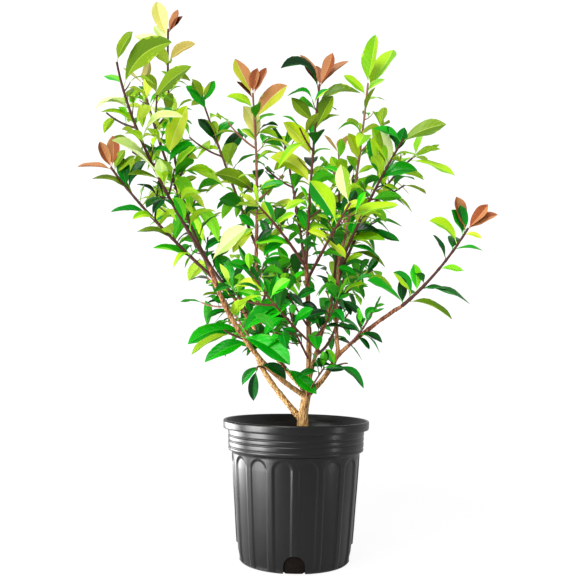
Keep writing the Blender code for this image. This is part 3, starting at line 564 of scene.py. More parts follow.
def tube(path, start, foot_radius, tip_radius, sides, rings, flare=0.0, grow=0.0):
    """A closed tapering limb along a path, as corner points and faces."""
    points = []
    side_way = heading_on(path, start).orthogonal()
    length = path_length(path)
    for i in range(rings + 1):
        share = start + (1 - start) * i / rings
        centre = point_on(path, share)
        ahead = heading_on(path, share)
        if grow and i == 0:
            centre = centre - ahead * grow
        if grow and i == rings:
            centre = centre + ahead * grow
        radius = foot_radius + (tip_radius - foot_radius) * share + grow
        radius *= 1 + flare * math.exp(-share * length / FLARE_HEIGHT)
        side_way = (side_way - ahead * side_way.dot(ahead)).normalized()
        across = ahead.cross(side_way)
        for k in range(sides):
            turn = 2 * math.pi * k / sides
            points.append(centre + (side_way * math.cos(turn) + across * math.sin(turn)) * radius)
    faces = [tuple(range(sides - 1, -1, -1))]
    for i in range(rings):
        faces += band(i * sides, (i + 1) * sides, sides)
    faces.append(tuple(rings * sides + k for k in range(sides)))
    return points, faces


def leaf_solid(root, way, upper, length, width, droop, grow=0.0, skip=0.0):
    """One folded leaf: root, two three-cornered sections and a tip."""
    across = way.cross(upper).normalized()
    upper = across.cross(way).normalized()
    down = Vector((0.0, 0.0, -1.0))

    def spine(share):
        return root + way * length * share + down * droop * length * share * share

    points = [spine(skip)]
    for share, part in LEAF_SECTIONS:
        middle = spine(share)
        half = width / 2 * part + grow
        keel = LEAF_KEEL * length + grow
        points.append(middle - across * half + upper * grow)
        points.append(middle + across * half + upper * grow)
        points.append(middle - upper * keel)
    points.append(root + way * (length + grow) + down * droop * length)
    return points, PLAIN_LEAF_FACES


def tree_of(shape):
    return BVHTree.FromPolygons(shape[0], shape[1])


def touches(shape, trees):
    own = tree_of(shape)
    return any(own.overlap(tree) for tree in trees)


print("A plain leaf has", len(PLAIN_LEAF_FACES), "faces")

# %% [markdown]
# ## Which way a leaf turns
# Photinia leaves stand in a spiral, each 137.5 degrees round from the last, the angle that
# keeps a leaf out of the shade of the one below. A leaf leaves its stem at a slant and
# turns its glossy side to the sky.

# %% Leaf directions
TURN = math.radians(137.5)
LEAF_ROLL = math.radians(50)
# How far a leaf's upper side tips ahead and outwards, and the least of it across the leaf
UPPER_TIP = 0.3
LEAST_UPPER = 0.15
# The upper side of a listed leaf: its play sideways, then its lean to the front and sky
SHOWN_PLAY = 0.3
SHOWN_UPPER = (-0.85, 0.55)
FRONT_SKY = Vector((0, -0.2, 1))


def side_of(ahead, turn):
    """A direction square to a limb, turned round it by an angle."""
    return Matrix.Rotation(turn, 3, ahead) @ ahead.orthogonal().normalized()


def leaf_ways(path, share, turn, spread, roll):
    """The way a leaf leaves its limb and the side that it turns up."""
    ahead = heading_on(path, share)
    side_way = side_of(ahead, turn)
    way = (ahead * math.cos(spread) + side_way * math.sin(spread)).normalized()
    upper = Vector((0, 0, 1)) + ahead * UPPER_TIP + side_way * UPPER_TIP
    upper = upper - way * upper.dot(way)
    if upper.length < LEAST_UPPER:
        upper = side_way - way * side_way.dot(way)
    upper = Matrix.Rotation(roll, 3, way) @ upper.normalized()
    return way, upper


def shown_ways(bearing, lean, roll, rng):
    """The same for a leaf that is given by its bearing from the front.

    A roll above zero turns the upper side to the sky, and one below zero turns the blade
    about its own midrib, which narrows an upright leaf.
    """
    turn = math.radians(bearing)
    tip_lean = math.radians(lean)
    way = Vector((math.cos(turn) * math.cos(tip_lean), -math.sin(tip_lean),
                  math.sin(turn) * math.cos(tip_lean)))
    upper = Vector((rng.uniform(-SHOWN_PLAY, SHOWN_PLAY), *SHOWN_UPPER))
    upper = (upper - way * upper.dot(way)).normalized()
    if roll < 0:
        upper = Matrix.Rotation(math.radians(roll), 3, way) @ upper
    if roll > 0:
        to_sky = FRONT_SKY - way * way.dot(FRONT_SKY)
        upper = upper.lerp(to_sky.normalized(), roll / 90).normalized()
    return way, upper


print("Each leaf stands", round(math.degrees(TURN), 1), "degrees round from the last")

# %% [markdown]
# ## Limbs that stand free
# A limb's foot starts at the first place along its path that stands free of its parent.
# The foot moves out in small steps until nothing touches the limb, and then the last step
# is halved a few times, which finds the place closely.

# %% The plant keeps what has grown
START_STEP = 0.01
START_HALVINGS = 6
LAST_START = 0.5


class Plant:
    """Every limb, twig and leaf, grown one after the other."""

    def __init__(self):
        self.paths = {}
        self.trees = []

    def clear_start(self, path, foot_radius, tip_radius, sides, rings):
        """The first place along the path where the limb's foot stands free."""
        def blocked(share):
            shape = tube(path, share, foot_radius, tip_radius, sides, rings, grow=GAP)
            return touches(shape, self.trees)

        near, far = 0.0, 0.0
        while far < LAST_START and blocked(far):
            near = far
            far += START_STEP
        for _ in range(START_HALVINGS):
            middle = (near + far) / 2
            if blocked(middle):
                near = middle
            else:
                far = middle
        return far

    def limb(self, name, parent, share, middle, tip, foot_radius, tip_radius, sides, step):
        """Grow one limb, and give its path, its start and its plain shape."""
        foot = point_on(self.paths[parent], share)
        path = path_of(foot, vec(middle), vec(tip))
        rings = rings_for(path, step)
        start = self.clear_start(path, foot_radius, tip_radius, sides, rings)
        self.paths[name] = path
        return path, start, tube(path, start, foot_radius, tip_radius, sides, rings)


print("A foot is found to", round(START_STEP / 2 ** START_HALVINGS, 5), "of its limb's length")

# %% [markdown]
# ## A shoot holds its leaves
# A shoot remembers its stem, its twigs and its leaves. It takes in a new leaf only where
# the leaf touches nothing that has grown already. Near their roots the leaves of one shoot
# may come close, so there only the blades are compared.

# %% One leafy shoot
STEM_CLEAR = 0.7
STALK = 0.14
LEAF_WIDTH = 0.42
WIDTH_PLAY = (0.9, 1.12)
Leaf = namedtuple("Leaf", "root way upper length width droop kind tone arch swapped",
                  defaults=(None, None))


class Spray:
    """One leafy shoot: its stem, twigs and leaves, kept clear of the rest."""

    def __init__(self, plant, name, path, start, stem, seed):
        self.plant = plant
        self.name = name
        self.path = path
        self.start = start
        self.shapes = [stem]
        self.blades = []
        self.leaves = []
        self.twig_paths = []
        self.fine_paths = []
        self.rng = random.Random(seed)
        low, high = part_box(name)
        self.space = (low / MM, high / MM)

    def share_at(self, share):
        return self.start + (1 - self.start) * share

    def free_length(self):
        return path_length(self.path) * (1 - self.start)

    def holds(self, shape):
        """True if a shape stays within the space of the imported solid."""
        low, high = self.space
        return all(low[k] <= point[k] <= high[k] for point in shape[0] for k in range(3))

    def keep_clear_of(self, leaf):
        """Let later leaves of this shoot stay off a leaf's blade."""
        self.blades.append(tree_of(leaf_solid(*leaf, skip=STALK)))

    def try_leaf(self, root, way, upper, length, droop, kind, tone=None):
        """Add a leaf where it touches nothing, and say if it was added."""
        width = length * LEAF_WIDTH * self.rng.uniform(*WIDTH_PLAY)
        leaf = (root, way, upper, length, width, droop)
        if touches(leaf_solid(*leaf, STEM_CLEAR), self.plant.trees):
            return False
        if touches(leaf_solid(*leaf, STEM_CLEAR, STALK), self.blades):
            return False
        solid = leaf_solid(*leaf)
        if kind == "fine" and not self.holds(solid):
            return False
        self.keep_clear_of(leaf)
        self.shapes.append(solid)
        self.leaves.append(Leaf(*leaf, kind, tone))
        return True


print("A leaf is", LEAF_WIDTH, "times as wide as it is long")

# %% [markdown]
# ## The first growth
# The leaves of a shoot are the listed ones, the tuft at its tip and a row along its stem.
# A leaf that would touch something swings a little to one side and then the other, and is
# left out after five tries. The rule and its random numbers are those of the packed
# solids, so the same leaves grow.

# %% Leaves by rule
TRIES = 5
SHOWN_DROOP = 0.10
SHOWN_SWING = 6
TUFT_LEAVES = {"green": 3, "shown": 0}
TUFT_SWING = math.radians(17)
# Each leaf of a tuft sits lower and smaller than the last, and slants more
TUFT_SHARE, TUFT_SHARE_STEP = 0.995, 0.004
TUFT_SIZE, TUFT_SIZE_STEP = 0.94, 0.09
TUFT_SLANT, TUFT_SLANT_STEP = 30, 6
TUFT_TURN = 0.5
TUFT_DROOP = 0.06
ROW_SWING = math.radians(24)
ROW_SIZE_PLAY = (0.78, 1.15)
# Slant and droop of a row's first leaf, and by how much its last one has less
ROW_SLANT, ROW_SLANT_LOSS, ROW_SLANT_PLAY = 62, 22, 9
ROW_DROOP, ROW_DROOP_LOSS = 0.46, 0.30
ROW_DROOP_PLAY = (0.6, 1.3)
ROW_LOWEST_WAY = -0.35


def swing(number):
    """Steps from side to side: 0, -1, 2, -3, 4."""
    return number * (-1) ** number


def shown_leaves(spray):
    """The leaves that are listed one by one."""
    for share, bearing, length, lean, roll, tone in SHOWN.get(spray.name, ()):
        root = point_on(spray.path, spray.share_at(share))
        for k in range(TRIES):
            way, upper = shown_ways(bearing + SHOWN_SWING * swing(k), lean, roll, spray.rng)
            if spray.try_leaf(root, way, upper, length, SHOWN_DROOP, "shown", tone):
                break


def row_of_leaves(spray, path, first, last, count, low, high, turn):
    """Leaves in a spiral along a limb, smaller and steeper to its tip."""
    for i in range(count):
        along = i / max(1, count - 1)
        share = first + (last - first) * along
        length = (low + (high - low) * along) * spray.rng.uniform(*ROW_SIZE_PLAY)
        slant = ROW_SLANT - ROW_SLANT_LOSS * along + spray.rng.uniform(-ROW_SLANT_PLAY, ROW_SLANT_PLAY)
        droop = (ROW_DROOP - ROW_DROOP_LOSS * along) * spray.rng.uniform(*ROW_DROOP_PLAY)
        roll = spray.rng.uniform(-LEAF_ROLL, LEAF_ROLL)
        root = point_on(path, share)
        for k in range(TRIES):
            angle = turn + TURN * i + ROW_SWING * swing(k)
            way, upper = leaf_ways(path, share, angle, math.radians(slant), roll)
            if way.z > ROW_LOWEST_WAY and spray.try_leaf(root, way, upper, length, droop, "row"):
                break


def tuft(spray, kind, length):
    """Young leaves that stand together at the tip."""
    count = TUFT_LEAVES[kind]
    for i in range(count):
        share = TUFT_SHARE - TUFT_SHARE_STEP * i
        root = point_on(spray.path, share)
        slant = math.radians(TUFT_SLANT + TUFT_SLANT_STEP * i)
        size = length * (TUFT_SIZE - TUFT_SIZE_STEP * i)
        for k in range(TRIES):
            angle = math.pi * 2 / count * i + TUFT_TURN + TUFT_SWING * swing(k)
            way, upper = leaf_ways(spray.path, share, angle, slant, 0.0)
            if spray.try_leaf(root, way, upper, size, TUFT_DROOP, "tuft"):
                break


print("A leaf is tried", TRIES, "times")

# %% [markdown]
# ## Side twigs
# A side twig stands round the stem from the last by a fixed angle, leans forward with the
# stem and lifts its tip. It bears a short row of leaves, a little smaller than the shoot's
# own. A twig that finds no room after five tries is left out.

# %% Twigs by rule
LOWEST_TWIG = 300
TWIG_END = 0.80
TWIG_TURN = 2.4
TWIG_TURN_PLAY = 0.5
TWIG_TURN_STEP = 0.5
# How much of a twig's way goes along the stem, outwards and, at its tip, upwards
TWIG_WAY = (0.62, 0.78, 0.14)
TWIG_ROW = (0.35, 0.985)
TWIG_LEAF_LOW, TWIG_LEAF_HIGH = 0.9, 0.85
PLAIN_TWIG_SIDES = 3


def twig_path(spray, share, angle, length, twig_way):
    """The path of a twig that leaves a stem at an angle round it."""
    forward, outward, lift = twig_way
    foot = point_on(spray.path, share)
    ahead = heading_on(spray.path, share)
    way = (ahead * forward + side_of(ahead, angle) * outward).normalized()
    tip = foot + way * length + Vector((0, 0, lift * length))
    return path_of(foot, foot + way * length * 0.5, tip)


def twigs(spray, count, bare, low, high):
    """Short side twigs with a few leaves each."""
    for i in range(count):
        share = spray.share_at(bare + (TWIG_END - bare) * (i + 0.5) / count)
        for k in range(TRIES):
            play = spray.rng.uniform(-TWIG_TURN_PLAY, TWIG_TURN_PLAY)
            angle = TWIG_TURN * i + play + TWIG_TURN_STEP * k
            path = twig_path(spray, share, angle, spray.rng.uniform(*TWIG_LENGTH), TWIG_WAY)
            form = (path, 0.0, TWIG_FOOT_RADIUS, TWIG_TIP_RADIUS, PLAIN_TWIG_SIDES, TWIG_RINGS)
            near = spray.plant.trees + spray.blades
            if path[2].z < LOWEST_TWIG or touches(tube(*form, grow=STEM_CLEAR), near):
                continue
            spray.shapes.append(tube(*form))
            spray.twig_paths.append(path)
            row_of_leaves(spray, path, *TWIG_ROW, TWIG_LEAVES, low * TWIG_LEAF_LOW,
                          high * TWIG_LEAF_HIGH, angle)
            break


print("Side twigs turn", TWIG_TURN, "radians from one to the next")

# %% [markdown]
# ## The plant grows
# The trunk grows first, then the boughs, then the stem of every shoot. After that each
# shoot in turn fills with leaves and twigs. While it does, its own stem is left out of the
# shapes that a leaf must keep clear of.

# %% Grow the trunk, the boughs and the shoots
LEAF_PITCH = 36.0
SPRAY_PITCH = 15.0
ROW_END = 0.95
# A first turn round the stem is drawn from this range, in radians
TURN_RANGE = (0, 6)


def grow(spray, bare, twig_count, low, high, kind):
    """The first growth of one shoot."""
    shown_leaves(spray)
    tuft(spray, kind, high)
    twigs(spray, twig_count, bare, low, high)
    pitch = SPRAY_PITCH if spray.name.startswith("spray") else LEAF_PITCH
    count = max(2, round(spray.free_length() * (1 - bare) / pitch))
    row_of_leaves(spray, spray.path, spray.share_at(bare), spray.share_at(ROW_END), count,
                  low, high, spray.rng.uniform(*TURN_RANGE))


def grow_plant():
    """The whole plant from its tables: the limbs first, then shoot by shoot."""
    plant = Plant()
    path = path_of(*[vec(p) for p in TRUNK_PATH])
    plant.paths["trunk"] = path
    trunk = tube(path, 0.0, TRUNK_FOOT_RADIUS, TRUNK_FORK_RADIUS, TRUNK_SIDES, TRUNK_RINGS, FLARE)
    for point in trunk[0][:TRUNK_SIDES]:
        point.z = path[0].z
    plant.trees.append(tree_of(trunk))
    for row in BOUGHS:
        plant.trees.append(tree_of(plant.limb(*row, BOUGH_SIDES, BOUGH_STEP)[2]))
    sprays = []
    for name, parent, share, middle, tip, *_ in SHOOTS:
        path, start, shape = plant.limb(name, parent, share, middle, tip, SHOOT_FOOT_RADIUS,
                                        SHOOT_TIP_RADIUS, SHOOT_SIDES, SHOOT_STEP)
        plant.trees.append(tree_of(shape))
        sprays.append(Spray(plant, name, path, start, shape, FIRST_SEED + len(sprays)))
    stem_trees = plant.trees[-len(SHOOTS):]
    for spray, own, row in zip(sprays, stem_trees, SHOOTS):
        plant.trees.remove(own)
        grow(spray, *row[5:])
        plant.trees.append(own)
        plant.trees += [tree_of(shape) for shape in spray.shapes[1:]]
    return plant, sprays


plant, sprays = grow_plant()
print("Grown:", sum(len(s.leaves) for s in sprays), "leaves and",
      sum(len(s.twig_paths) for s in sprays), "side twigs")

# %% [markdown]
# ## The second growth
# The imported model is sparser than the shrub. So each shoot puts out more leaves and thin
# twigs in the gaps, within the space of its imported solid. They have random numbers of
# their own, so the first leaves stay as they are, and none of them points at the camera.

# %% Finer leaves and twigs
FINE_SEED = 301
FINE_PITCH = 64.0
LOW_FINE_PITCH = 42.0
LOW_SHOOT = 600.0
FINE_LENGTH = (16.0, 34.0)
FINE_RADII = (1.3, 0.8)
FINE_LEAVES = 3
FINE_ROW = (0.4, 0.99)
FINE_END = 0.93
FINE_SLANT = (42, 74)
FINE_DROOP = (0.15, 0.5)
FINE_TURN_STEP = 1.1
FINE_LOWEST_WAY = -0.45
MOST_FORWARD = -0.15
SMALL_LEAF = 0.85
FINE_TWIG_END = 0.88
FINE_TWIG_TURN_PLAY = 0.4
FINE_TWIG_TURN_STEP = 1.26
FINE_TWIG_WAY = (0.55, 0.84, 0.2)
FINE_TWIG_STALK = 0.12
PLAIN_FINE_SIDES = 4
BARE_SHOOTS = ("shoot_outer_right", "shoot_outer_left")
# Leaf lengths of the second growth up to a height
FINE_SIZES = ((470, (40, 60)), (620, (46, 68)), (1200, (46, 72)))


def fine_size(height):
    for top, size in FINE_SIZES:
        if height < top:
            return size


def fine_count(spray):
    """More in the second growth of the low inner shoots than of the high ones."""
    pitch = LOW_FINE_PITCH if spray.path[2].z < LOW_SHOOT else FINE_PITCH
    return round(spray.free_length() / pitch)


def fine_leaves(spray, path, first, last, count, turn, size):
    """Later leaves that fill the gaps between the first ones."""
    for i in range(count):
        share = first + (last - first) * (i + spray.rng.random()) / count
        root = point_on(path, share)
        length = spray.rng.uniform(*fine_size(root.z)) * size
        slant = math.radians(spray.rng.uniform(*FINE_SLANT))
        droop = spray.rng.uniform(*FINE_DROOP)
        roll = spray.rng.uniform(-LEAF_ROLL, LEAF_ROLL)
        for k in range(TRIES):
            way, upper = leaf_ways(path, share, turn + TURN * i + FINE_TURN_STEP * k, slant, roll)
            if way.y < MOST_FORWARD or way.z < FINE_LOWEST_WAY:
                continue
            if spray.try_leaf(root, way, upper, length, droop, "fine"):
                break


def fine_twigs(spray, bare):
    """Thin twigs in the gaps, each with a few small leaves."""
    count = fine_count(spray)
    for i in range(count):
        share = spray.share_at(bare + (FINE_TWIG_END - bare) * (i + spray.rng.random()) / count)
        length = spray.rng.uniform(*FINE_LENGTH)
        for k in range(TRIES):
            play = spray.rng.uniform(-FINE_TWIG_TURN_PLAY, FINE_TWIG_TURN_PLAY)
            angle = TWIG_TURN * i + play + FINE_TWIG_TURN_STEP * k
            path = twig_path(spray, share, angle, length, FINE_TWIG_WAY)
            grown = tube(path, 0.0, *FINE_RADII, PLAIN_FINE_SIDES, TWIG_RINGS, grow=STEM_CLEAR)
            if not spray.holds(grown) or touches(grown, spray.plant.trees + spray.blades):
                continue
            before = len(spray.leaves)
            fine_leaves(spray, path, *FINE_ROW, FINE_LEAVES, angle, SMALL_LEAF)
            if len(spray.leaves) > before:
                spray.fine_paths.append(path)
                twig = tube(path, FINE_TWIG_STALK, *FINE_RADII, PLAIN_FINE_SIDES, TWIG_RINGS)
                spray.blades.append(tree_of(twig))
                break


def grow_fine(spray, bare):
    """The second growth of one shoot, drawn from its own numbers."""
    if spray.name in BARE_SHOOTS:
        return
    fine_leaves(spray, spray.path, spray.share_at(bare), spray.share_at(FINE_END),
                fine_count(spray), spray.rng.uniform(*TURN_RANGE), 1.0)
    fine_twigs(spray, bare)


print("Two of the shoots stay as they are:", ", ".join(BARE_SHOOTS))

# %% [markdown]
# ## Leaves set right
# Before the second growth, leaves that would hide a listed tuft are left out, and the later
# list adds its leaves and takes others away. After it, a leaf whose middle falls on a spot
# of open sky goes too, and so does a thin twig that is left without leaves.

# %% Later leaves, clear tips and open sky
TUFT_REACH = 40.0
SAME_ROOT = 0.4
CLEAR_TIPS = ("shoot_front_left", "shoot_front", "shoot_right_front")
LEAF_MIDDLE = 0.55
# A leaf's root is compared with these steps of its twig, to within 1 mm
TWIG_CHECKS = [step / 30 for step in range(10, 31)]
NEAR_TWIG = 1.0


def later_leaves(spray):
    """The later leaves that are listed, each in place of any at the same root."""
    for share, *row in LATER.get(spray.name, ()):
        root = point_on(spray.path, spray.share_at(share))
        spray.leaves = [leaf for leaf in spray.leaves if (leaf.root - root).length > SAME_ROOT]
        if row:
            bearing, length, lean, roll, tone, *form = row
            way, upper = shown_ways(bearing, lean, roll, spray.rng)
            leaf = (root, way, upper, length, length * LEAF_WIDTH, SHOWN_DROOP)
            spray.keep_clear_of(leaf)
            spray.leaves.append(Leaf(*leaf, "shown", tone, *form))


def thin_tip(spray):
    """Leave out the leaves of the spiral that would hide a listed tuft."""
    hidden = ("row", "tuft") if spray.name in CLEAR_TIPS else ("row",)
    spray.leaves = [leaf for leaf in spray.leaves if leaf.kind not in hidden
                    or (leaf.root - spray.path[2]).length > TUFT_REACH]


def in_sky(leaf):
    """True if the middle of a leaf falls on a spot of open sky."""
    middle = (leaf.root + leaf.way * leaf.length * LEAF_MIDDLE) * MM
    middle = camera.matrix_world.inverted() @ middle
    scale = FOCAL_LENGTH_PIXELS / -middle.z
    x = PICTURE_WIDTH / 2 + scale * middle.x
    y = PICTURE_WIDTH / 2 - scale * middle.y
    return any(math.hypot(x - spot_x, y - spot_y) < radius for spot_x, spot_y, radius in SKY)


def on_twig(leaf, path):
    return any((point_on(path, share) - leaf.root).length < NEAR_TWIG for share in TWIG_CHECKS)


def open_sky(spray):
    """Leave out the unlisted leaves, and then the bare twigs, where the sky shows."""
    spray.leaves = [leaf for leaf in spray.leaves if leaf.kind == "shown" or not in_sky(leaf)]
    spray.fine_paths = [path for path in spray.fine_paths
                        if any(on_twig(leaf, path) for leaf in spray.leaves)]


def merged(shapes):
    """Several shapes as one tree, which is quick to test against."""
    points, faces = [], []
    for shape_points, shape_faces in shapes:
        faces += [tuple(len(points) + k for k in face) for face in shape_faces]
        points += shape_points
    return tree_of((points, faces))


limbs = plant.trees[:1 + len(BOUGHS)]
for number, (spray, row) in enumerate(zip(sprays, SHOOTS)):
    others = [shape for other in sprays if other is not spray for shape in other.shapes]
    plant.trees = limbs + [merged(others)]
    spray.rng = random.Random(FINE_SEED + number)
    if row[-1] == "shown" or spray.name in CLEAR_TIPS:
        thin_tip(spray)
    later_leaves(spray)
    grow_fine(spray, row[5])
    open_sky(spray)
print("With the second growth:", sum(len(s.leaves) for s in sprays), "leaves and",
      sum(len(s.fine_paths) for s in sprays), "thin twigs")

# %% [markdown]
# ## Bark on the trunk and boughs
# The old wood of a photinia is pale tan with fine upright cracks and small pores, and it
# turns red-brown where it is a year old. Limbs that grow into each other have no seam at
# the fork. So the limbs are joined as overlapping tubes, a voxel remesh melts them into
# one skin, and smoothing rounds the forks before fine noise raises the bark.

# %% Melt the limbs into one skin
WOOD_SIDES = 16
WOOD_STEP = 3.0
WOOD_VOXEL = 0.95
# The foot of the wood stands this deep in the potting mix
WOOD_DEPTH = 3
KNOT_PITCH = 34.0
KNOT_WIDTH = 2.4
KNOT_RISE = 0.13
KNOT_PHASE = 11.0
FOOT_SWELL = 0.35
FOOT_SWELL_HEIGHT = 7.0
SOFTEN_FACTOR = 0.5
SOFTEN_ROUNDS = 4
BARK_RELIEF = 0.42
CRACK_SCALE = (0.42, 0.42, 0.10)
LUMP_SCALE = 0.09
KNOB_SCALE = (0.05, 0.05, 0.075)
LUMP_SHARE = 0.8
KNOB_SHARE = 1.9
# Dimension, lacunarity and octaves of fractal noise
FRACTAL = (0.8, 2.0, 3)


def swell_rings(points, path, sides, rings, swell_at):
    """Swell the rings of a tube by a rule of each ring's share and centre."""
    for i in range(rings + 1):
        centre = point_on(path, i / rings)
        swell = swell_at(i / rings, centre)
        for k in range(i * sides, (i + 1) * sides):
            points[k] = points[k] + (points[k] - centre) * swell


def knotted(points, path, rings, phase):
    """Swell a limb where old leaves stood and where it leaves its parent."""
    length = path_length(path)

    def swell_at(share, centre):
        away = (share * length + phase) % KNOT_PITCH - KNOT_PITCH / 2
        swell = KNOT_RISE * math.exp(-(away / KNOT_WIDTH) ** 2)
        return swell + FOOT_SWELL * math.exp(-share * length / FOOT_SWELL_HEIGHT)

    swell_rings(points, path, WOOD_SIDES, rings, swell_at)


def wood_pile():
    pile = Pile()
    path = plant.paths["trunk"]
    points, faces = tube(path, 0.0, TRUNK_FOOT_RADIUS, TRUNK_FORK_RADIUS, WOOD_SIDES,
                         rings_for(path, WOOD_STEP), FLARE)
    for point in points[:WOOD_SIDES]:
        point.z = SOIL_TOP - WOOD_DEPTH
    pile.add(points, faces)
    for number, (name, *_, foot_radius, tip_radius) in enumerate(BOUGHS):
        path = plant.paths[name]
        rings = rings_for(path, WOOD_STEP)
        points, faces = tube(path, 0.0, foot_radius, tip_radius, WOOD_SIDES, rings)
        knotted(points, path, rings, KNOT_PHASE * number)
        pile.add(points, faces)
    return pile


def evaluated_mesh(obj):
    graph = bpy.context.evaluated_depsgraph_get()
    return bpy.data.meshes.new_from_object(obj.evaluated_get(graph))


def scaled(point, scale):
    return Vector(point[k] * scale[k] for k in range(3))


def bark_height(point):
    """Relief of the bark in millimetres at a point in millimetres."""
    cracks = noise.fractal(scaled(point, CRACK_SCALE), *FRACTAL)
    lumps = noise.noise(Vector(point) * LUMP_SCALE)
    knobs = noise.noise(scaled(point, KNOB_SCALE))
    return BARK_RELIEF * (cracks + LUMP_SHARE * lumps + KNOB_SHARE * knobs)


wood = wood_pile().as_piece("wood", [])
melt = wood.modifiers.new("melt", "REMESH")
melt.mode = "VOXEL"
melt.voxel_size = WOOD_VOXEL * MM
soften = wood.modifiers.new("soften", "SMOOTH")
soften.factor = SOFTEN_FACTOR
soften.iterations = SOFTEN_ROUNDS
wood.data = evaluated_mesh(wood)
wood.modifiers.clear()
for vertex, normal in [(v, v.normal.copy()) for v in wood.data.vertices]:
    vertex.co += normal * bark_height(vertex.co / MM) * MM
wood.data.shade_smooth()
print("The skin of the wood has", len(wood.data.vertices), "points")

# %% [markdown]
# ## The finish of the bark
# Bark is a matt, dry surface. Its colour has a place: tan at the foot, red-brown higher up.
# The height above the ground drives that change, with noise to fray its edge, and fine
# upright noise darkens the cracks. Its grain is about 3 mm wide and 12 mm long.

# %% Bark finish
BARK_GRAIN_MM = 2.8
BARK_SQUEEZE = 0.24
OLD_WOOD_TOP = 0.30
YOUNG_WOOD_FOOT = 0.48
# The right-hand boughs are the younger ones and turn brown lower down
YOUNG_TO_RIGHT = 0.3
# The edge between old and young wood frays over this height, in metres
FRAY = 0.16
# Waves of the frayed edge to a millimetre, so that each is about 17 mm wide
FRAY_WAVES = 0.06
OLD_BARK = ((0.34, "#54300F"), (0.47, "#A67640"), (0.62, "#DDBA7C"))
YOUNG_BARK = ((0.34, "#36150E"), (0.49, "#80442A"), (0.64, "#BE865E"))


def bark_finish():
    material, shader = new_finish("photinia_bark", "#A87C4C", roughness=0.78)
    place = add_node(material, "ShaderNodeTexCoord").outputs["Object"]
    height = add_node(material, "ShaderNodeSeparateXYZ", links={"Vector": place})
    age = add_node(material, "ShaderNodeMath", {"operation": "MULTIPLY_ADD", 1: YOUNG_TO_RIGHT},
                   {0: height.outputs["X"], 2: height.outputs["Z"]})
    fray = add_node(material, "ShaderNodeTexNoise", {"Scale": FRAY_WAVES / MM, "Detail": 3.0},
                    {"Vector": place})
    frayed = add_node(material, "ShaderNodeMath", {"operation": "MULTIPLY_ADD", 1: FRAY},
                      {0: fray.outputs["Fac"], 2: age.outputs[0]})
    young = add_node(material, "ShaderNodeMapRange",
                     {"From Min": OLD_WOOD_TOP + FRAY / 2, "From Max": YOUNG_WOOD_FOOT + FRAY / 2},
                     {"Value": frayed.outputs[0]})
    upright = add_node(material, "ShaderNodeMapping", {"Scale": (1.0, 1.0, BARK_SQUEEZE)},
                       {"Vector": place})
    grain = add_node(material, "ShaderNodeTexNoise",
                     {"Scale": 1 / (BARK_GRAIN_MM * MM), "Detail": 4.0, "Roughness": 0.62},
                     {"Vector": upright.outputs[0]}).outputs["Fac"]
    old_colour = add_node(material, "ShaderNodeValToRGB", links={"Fac": grain}, stops=OLD_BARK)
    young_colour = add_node(material, "ShaderNodeValToRGB", links={"Fac": grain}, stops=YOUNG_BARK)
    colour = add_node(material, "ShaderNodeMixRGB", links={
        "Fac": young.outputs["Result"], "Color1": old_colour.outputs["Color"],
        "Color2": young_colour.outputs["Color"]})
    bump = add_node(material, "ShaderNodeBump", {"Strength": 0.6, "Distance": 0.0005}, {"Height": grain})
    feed(material, shader, "Base Color", colour.outputs["Color"])
    feed(material, shader, "Normal", bump.outputs["Normal"])
    return material


wood.data.materials.clear()
wood.data.materials.append(bark_finish())
dress(wood, ["trunk"] + [row[0] for row in BOUGHS])

# %% [markdown]
# ## Stems of the shoots and side twigs
# This year's stems are smooth and no thicker than a pencil, dark red to rosy brown, and
# swell a little at every leaf. They are plain tubes with more sides and rings than the
# packed ones. Each shoot has one even colour, dealt out from three tones of bark.

# %% Young stems
STEM_TONES = {
    "maroon": ("#451A14", ("shoot_front_left", "shoot_left", "shoot_tallest", "shoot_right_front",
                           "shoot_right_back", "shoot_outer_right", "shoot_outer_left")),
    "rosy": ("#9C6452", ("shoot_inner_left", "shoot_right_inner", "shoot_low_left")),
    "russet": ("#5C2C1E", ()),
}
# The shoots that no tone lists are russet
OTHER_STEMS = "russet"
STEM_SIDES = 9
STEM_STEP = 5.0
TWIG_SIDES = 6
LOW_STEM_SHARE = 0.72
STEM_KNOT = 0.22
STEM_KNOT_REACH = 2.6
# Pores to a millimetre, so that they are about 3 mm apart
PORES = 0.32


def stem_tone(name):
    for tone, (_, shoots) in STEM_TONES.items():
        if name in shoots:
            return tone
    return OTHER_STEMS


def add_stem(pile, path, foot_radius, tip_radius, sides, roots):
    """A smooth stem that swells close to the root of each leaf."""
    def swell_at(share, centre):
        nearest = min((root - centre).length for root in roots)
        return STEM_KNOT * math.exp(-(nearest / STEM_KNOT_REACH) ** 2)

    rings = rings_for(path, STEM_STEP)
    points, faces = tube(path, 0.0, foot_radius, tip_radius, sides, rings)
    if roots:
        swell_rings(points, path, sides, rings, swell_at)
    pile.add(points, faces)


def stem_finish(tone, colour):
    """Smooth young bark whose pores are duller than the rest."""
    material, shader = new_finish("young_bark_" + tone, colour, roughness=0.5)
    place = add_node(material, "ShaderNodeTexCoord").outputs["Object"]
    pores = add_node(material, "ShaderNodeTexNoise", {"Scale": PORES / MM, "Detail": 3.0},
                     {"Vector": place})
    rough = add_node(material, "ShaderNodeMapRange", {"To Min": 0.36, "To Max": 0.62},
                     {"Value": pores.outputs["Fac"]})
    bump = add_node(material, "ShaderNodeBump", {"Strength": 0.4, "Distance": 0.0003},
                    {"Height": pores.outputs["Fac"]})
    feed(material, shader, "Roughness", rough.outputs["Result"])
    feed(material, shader, "Normal", bump.outputs["Normal"])
    return material


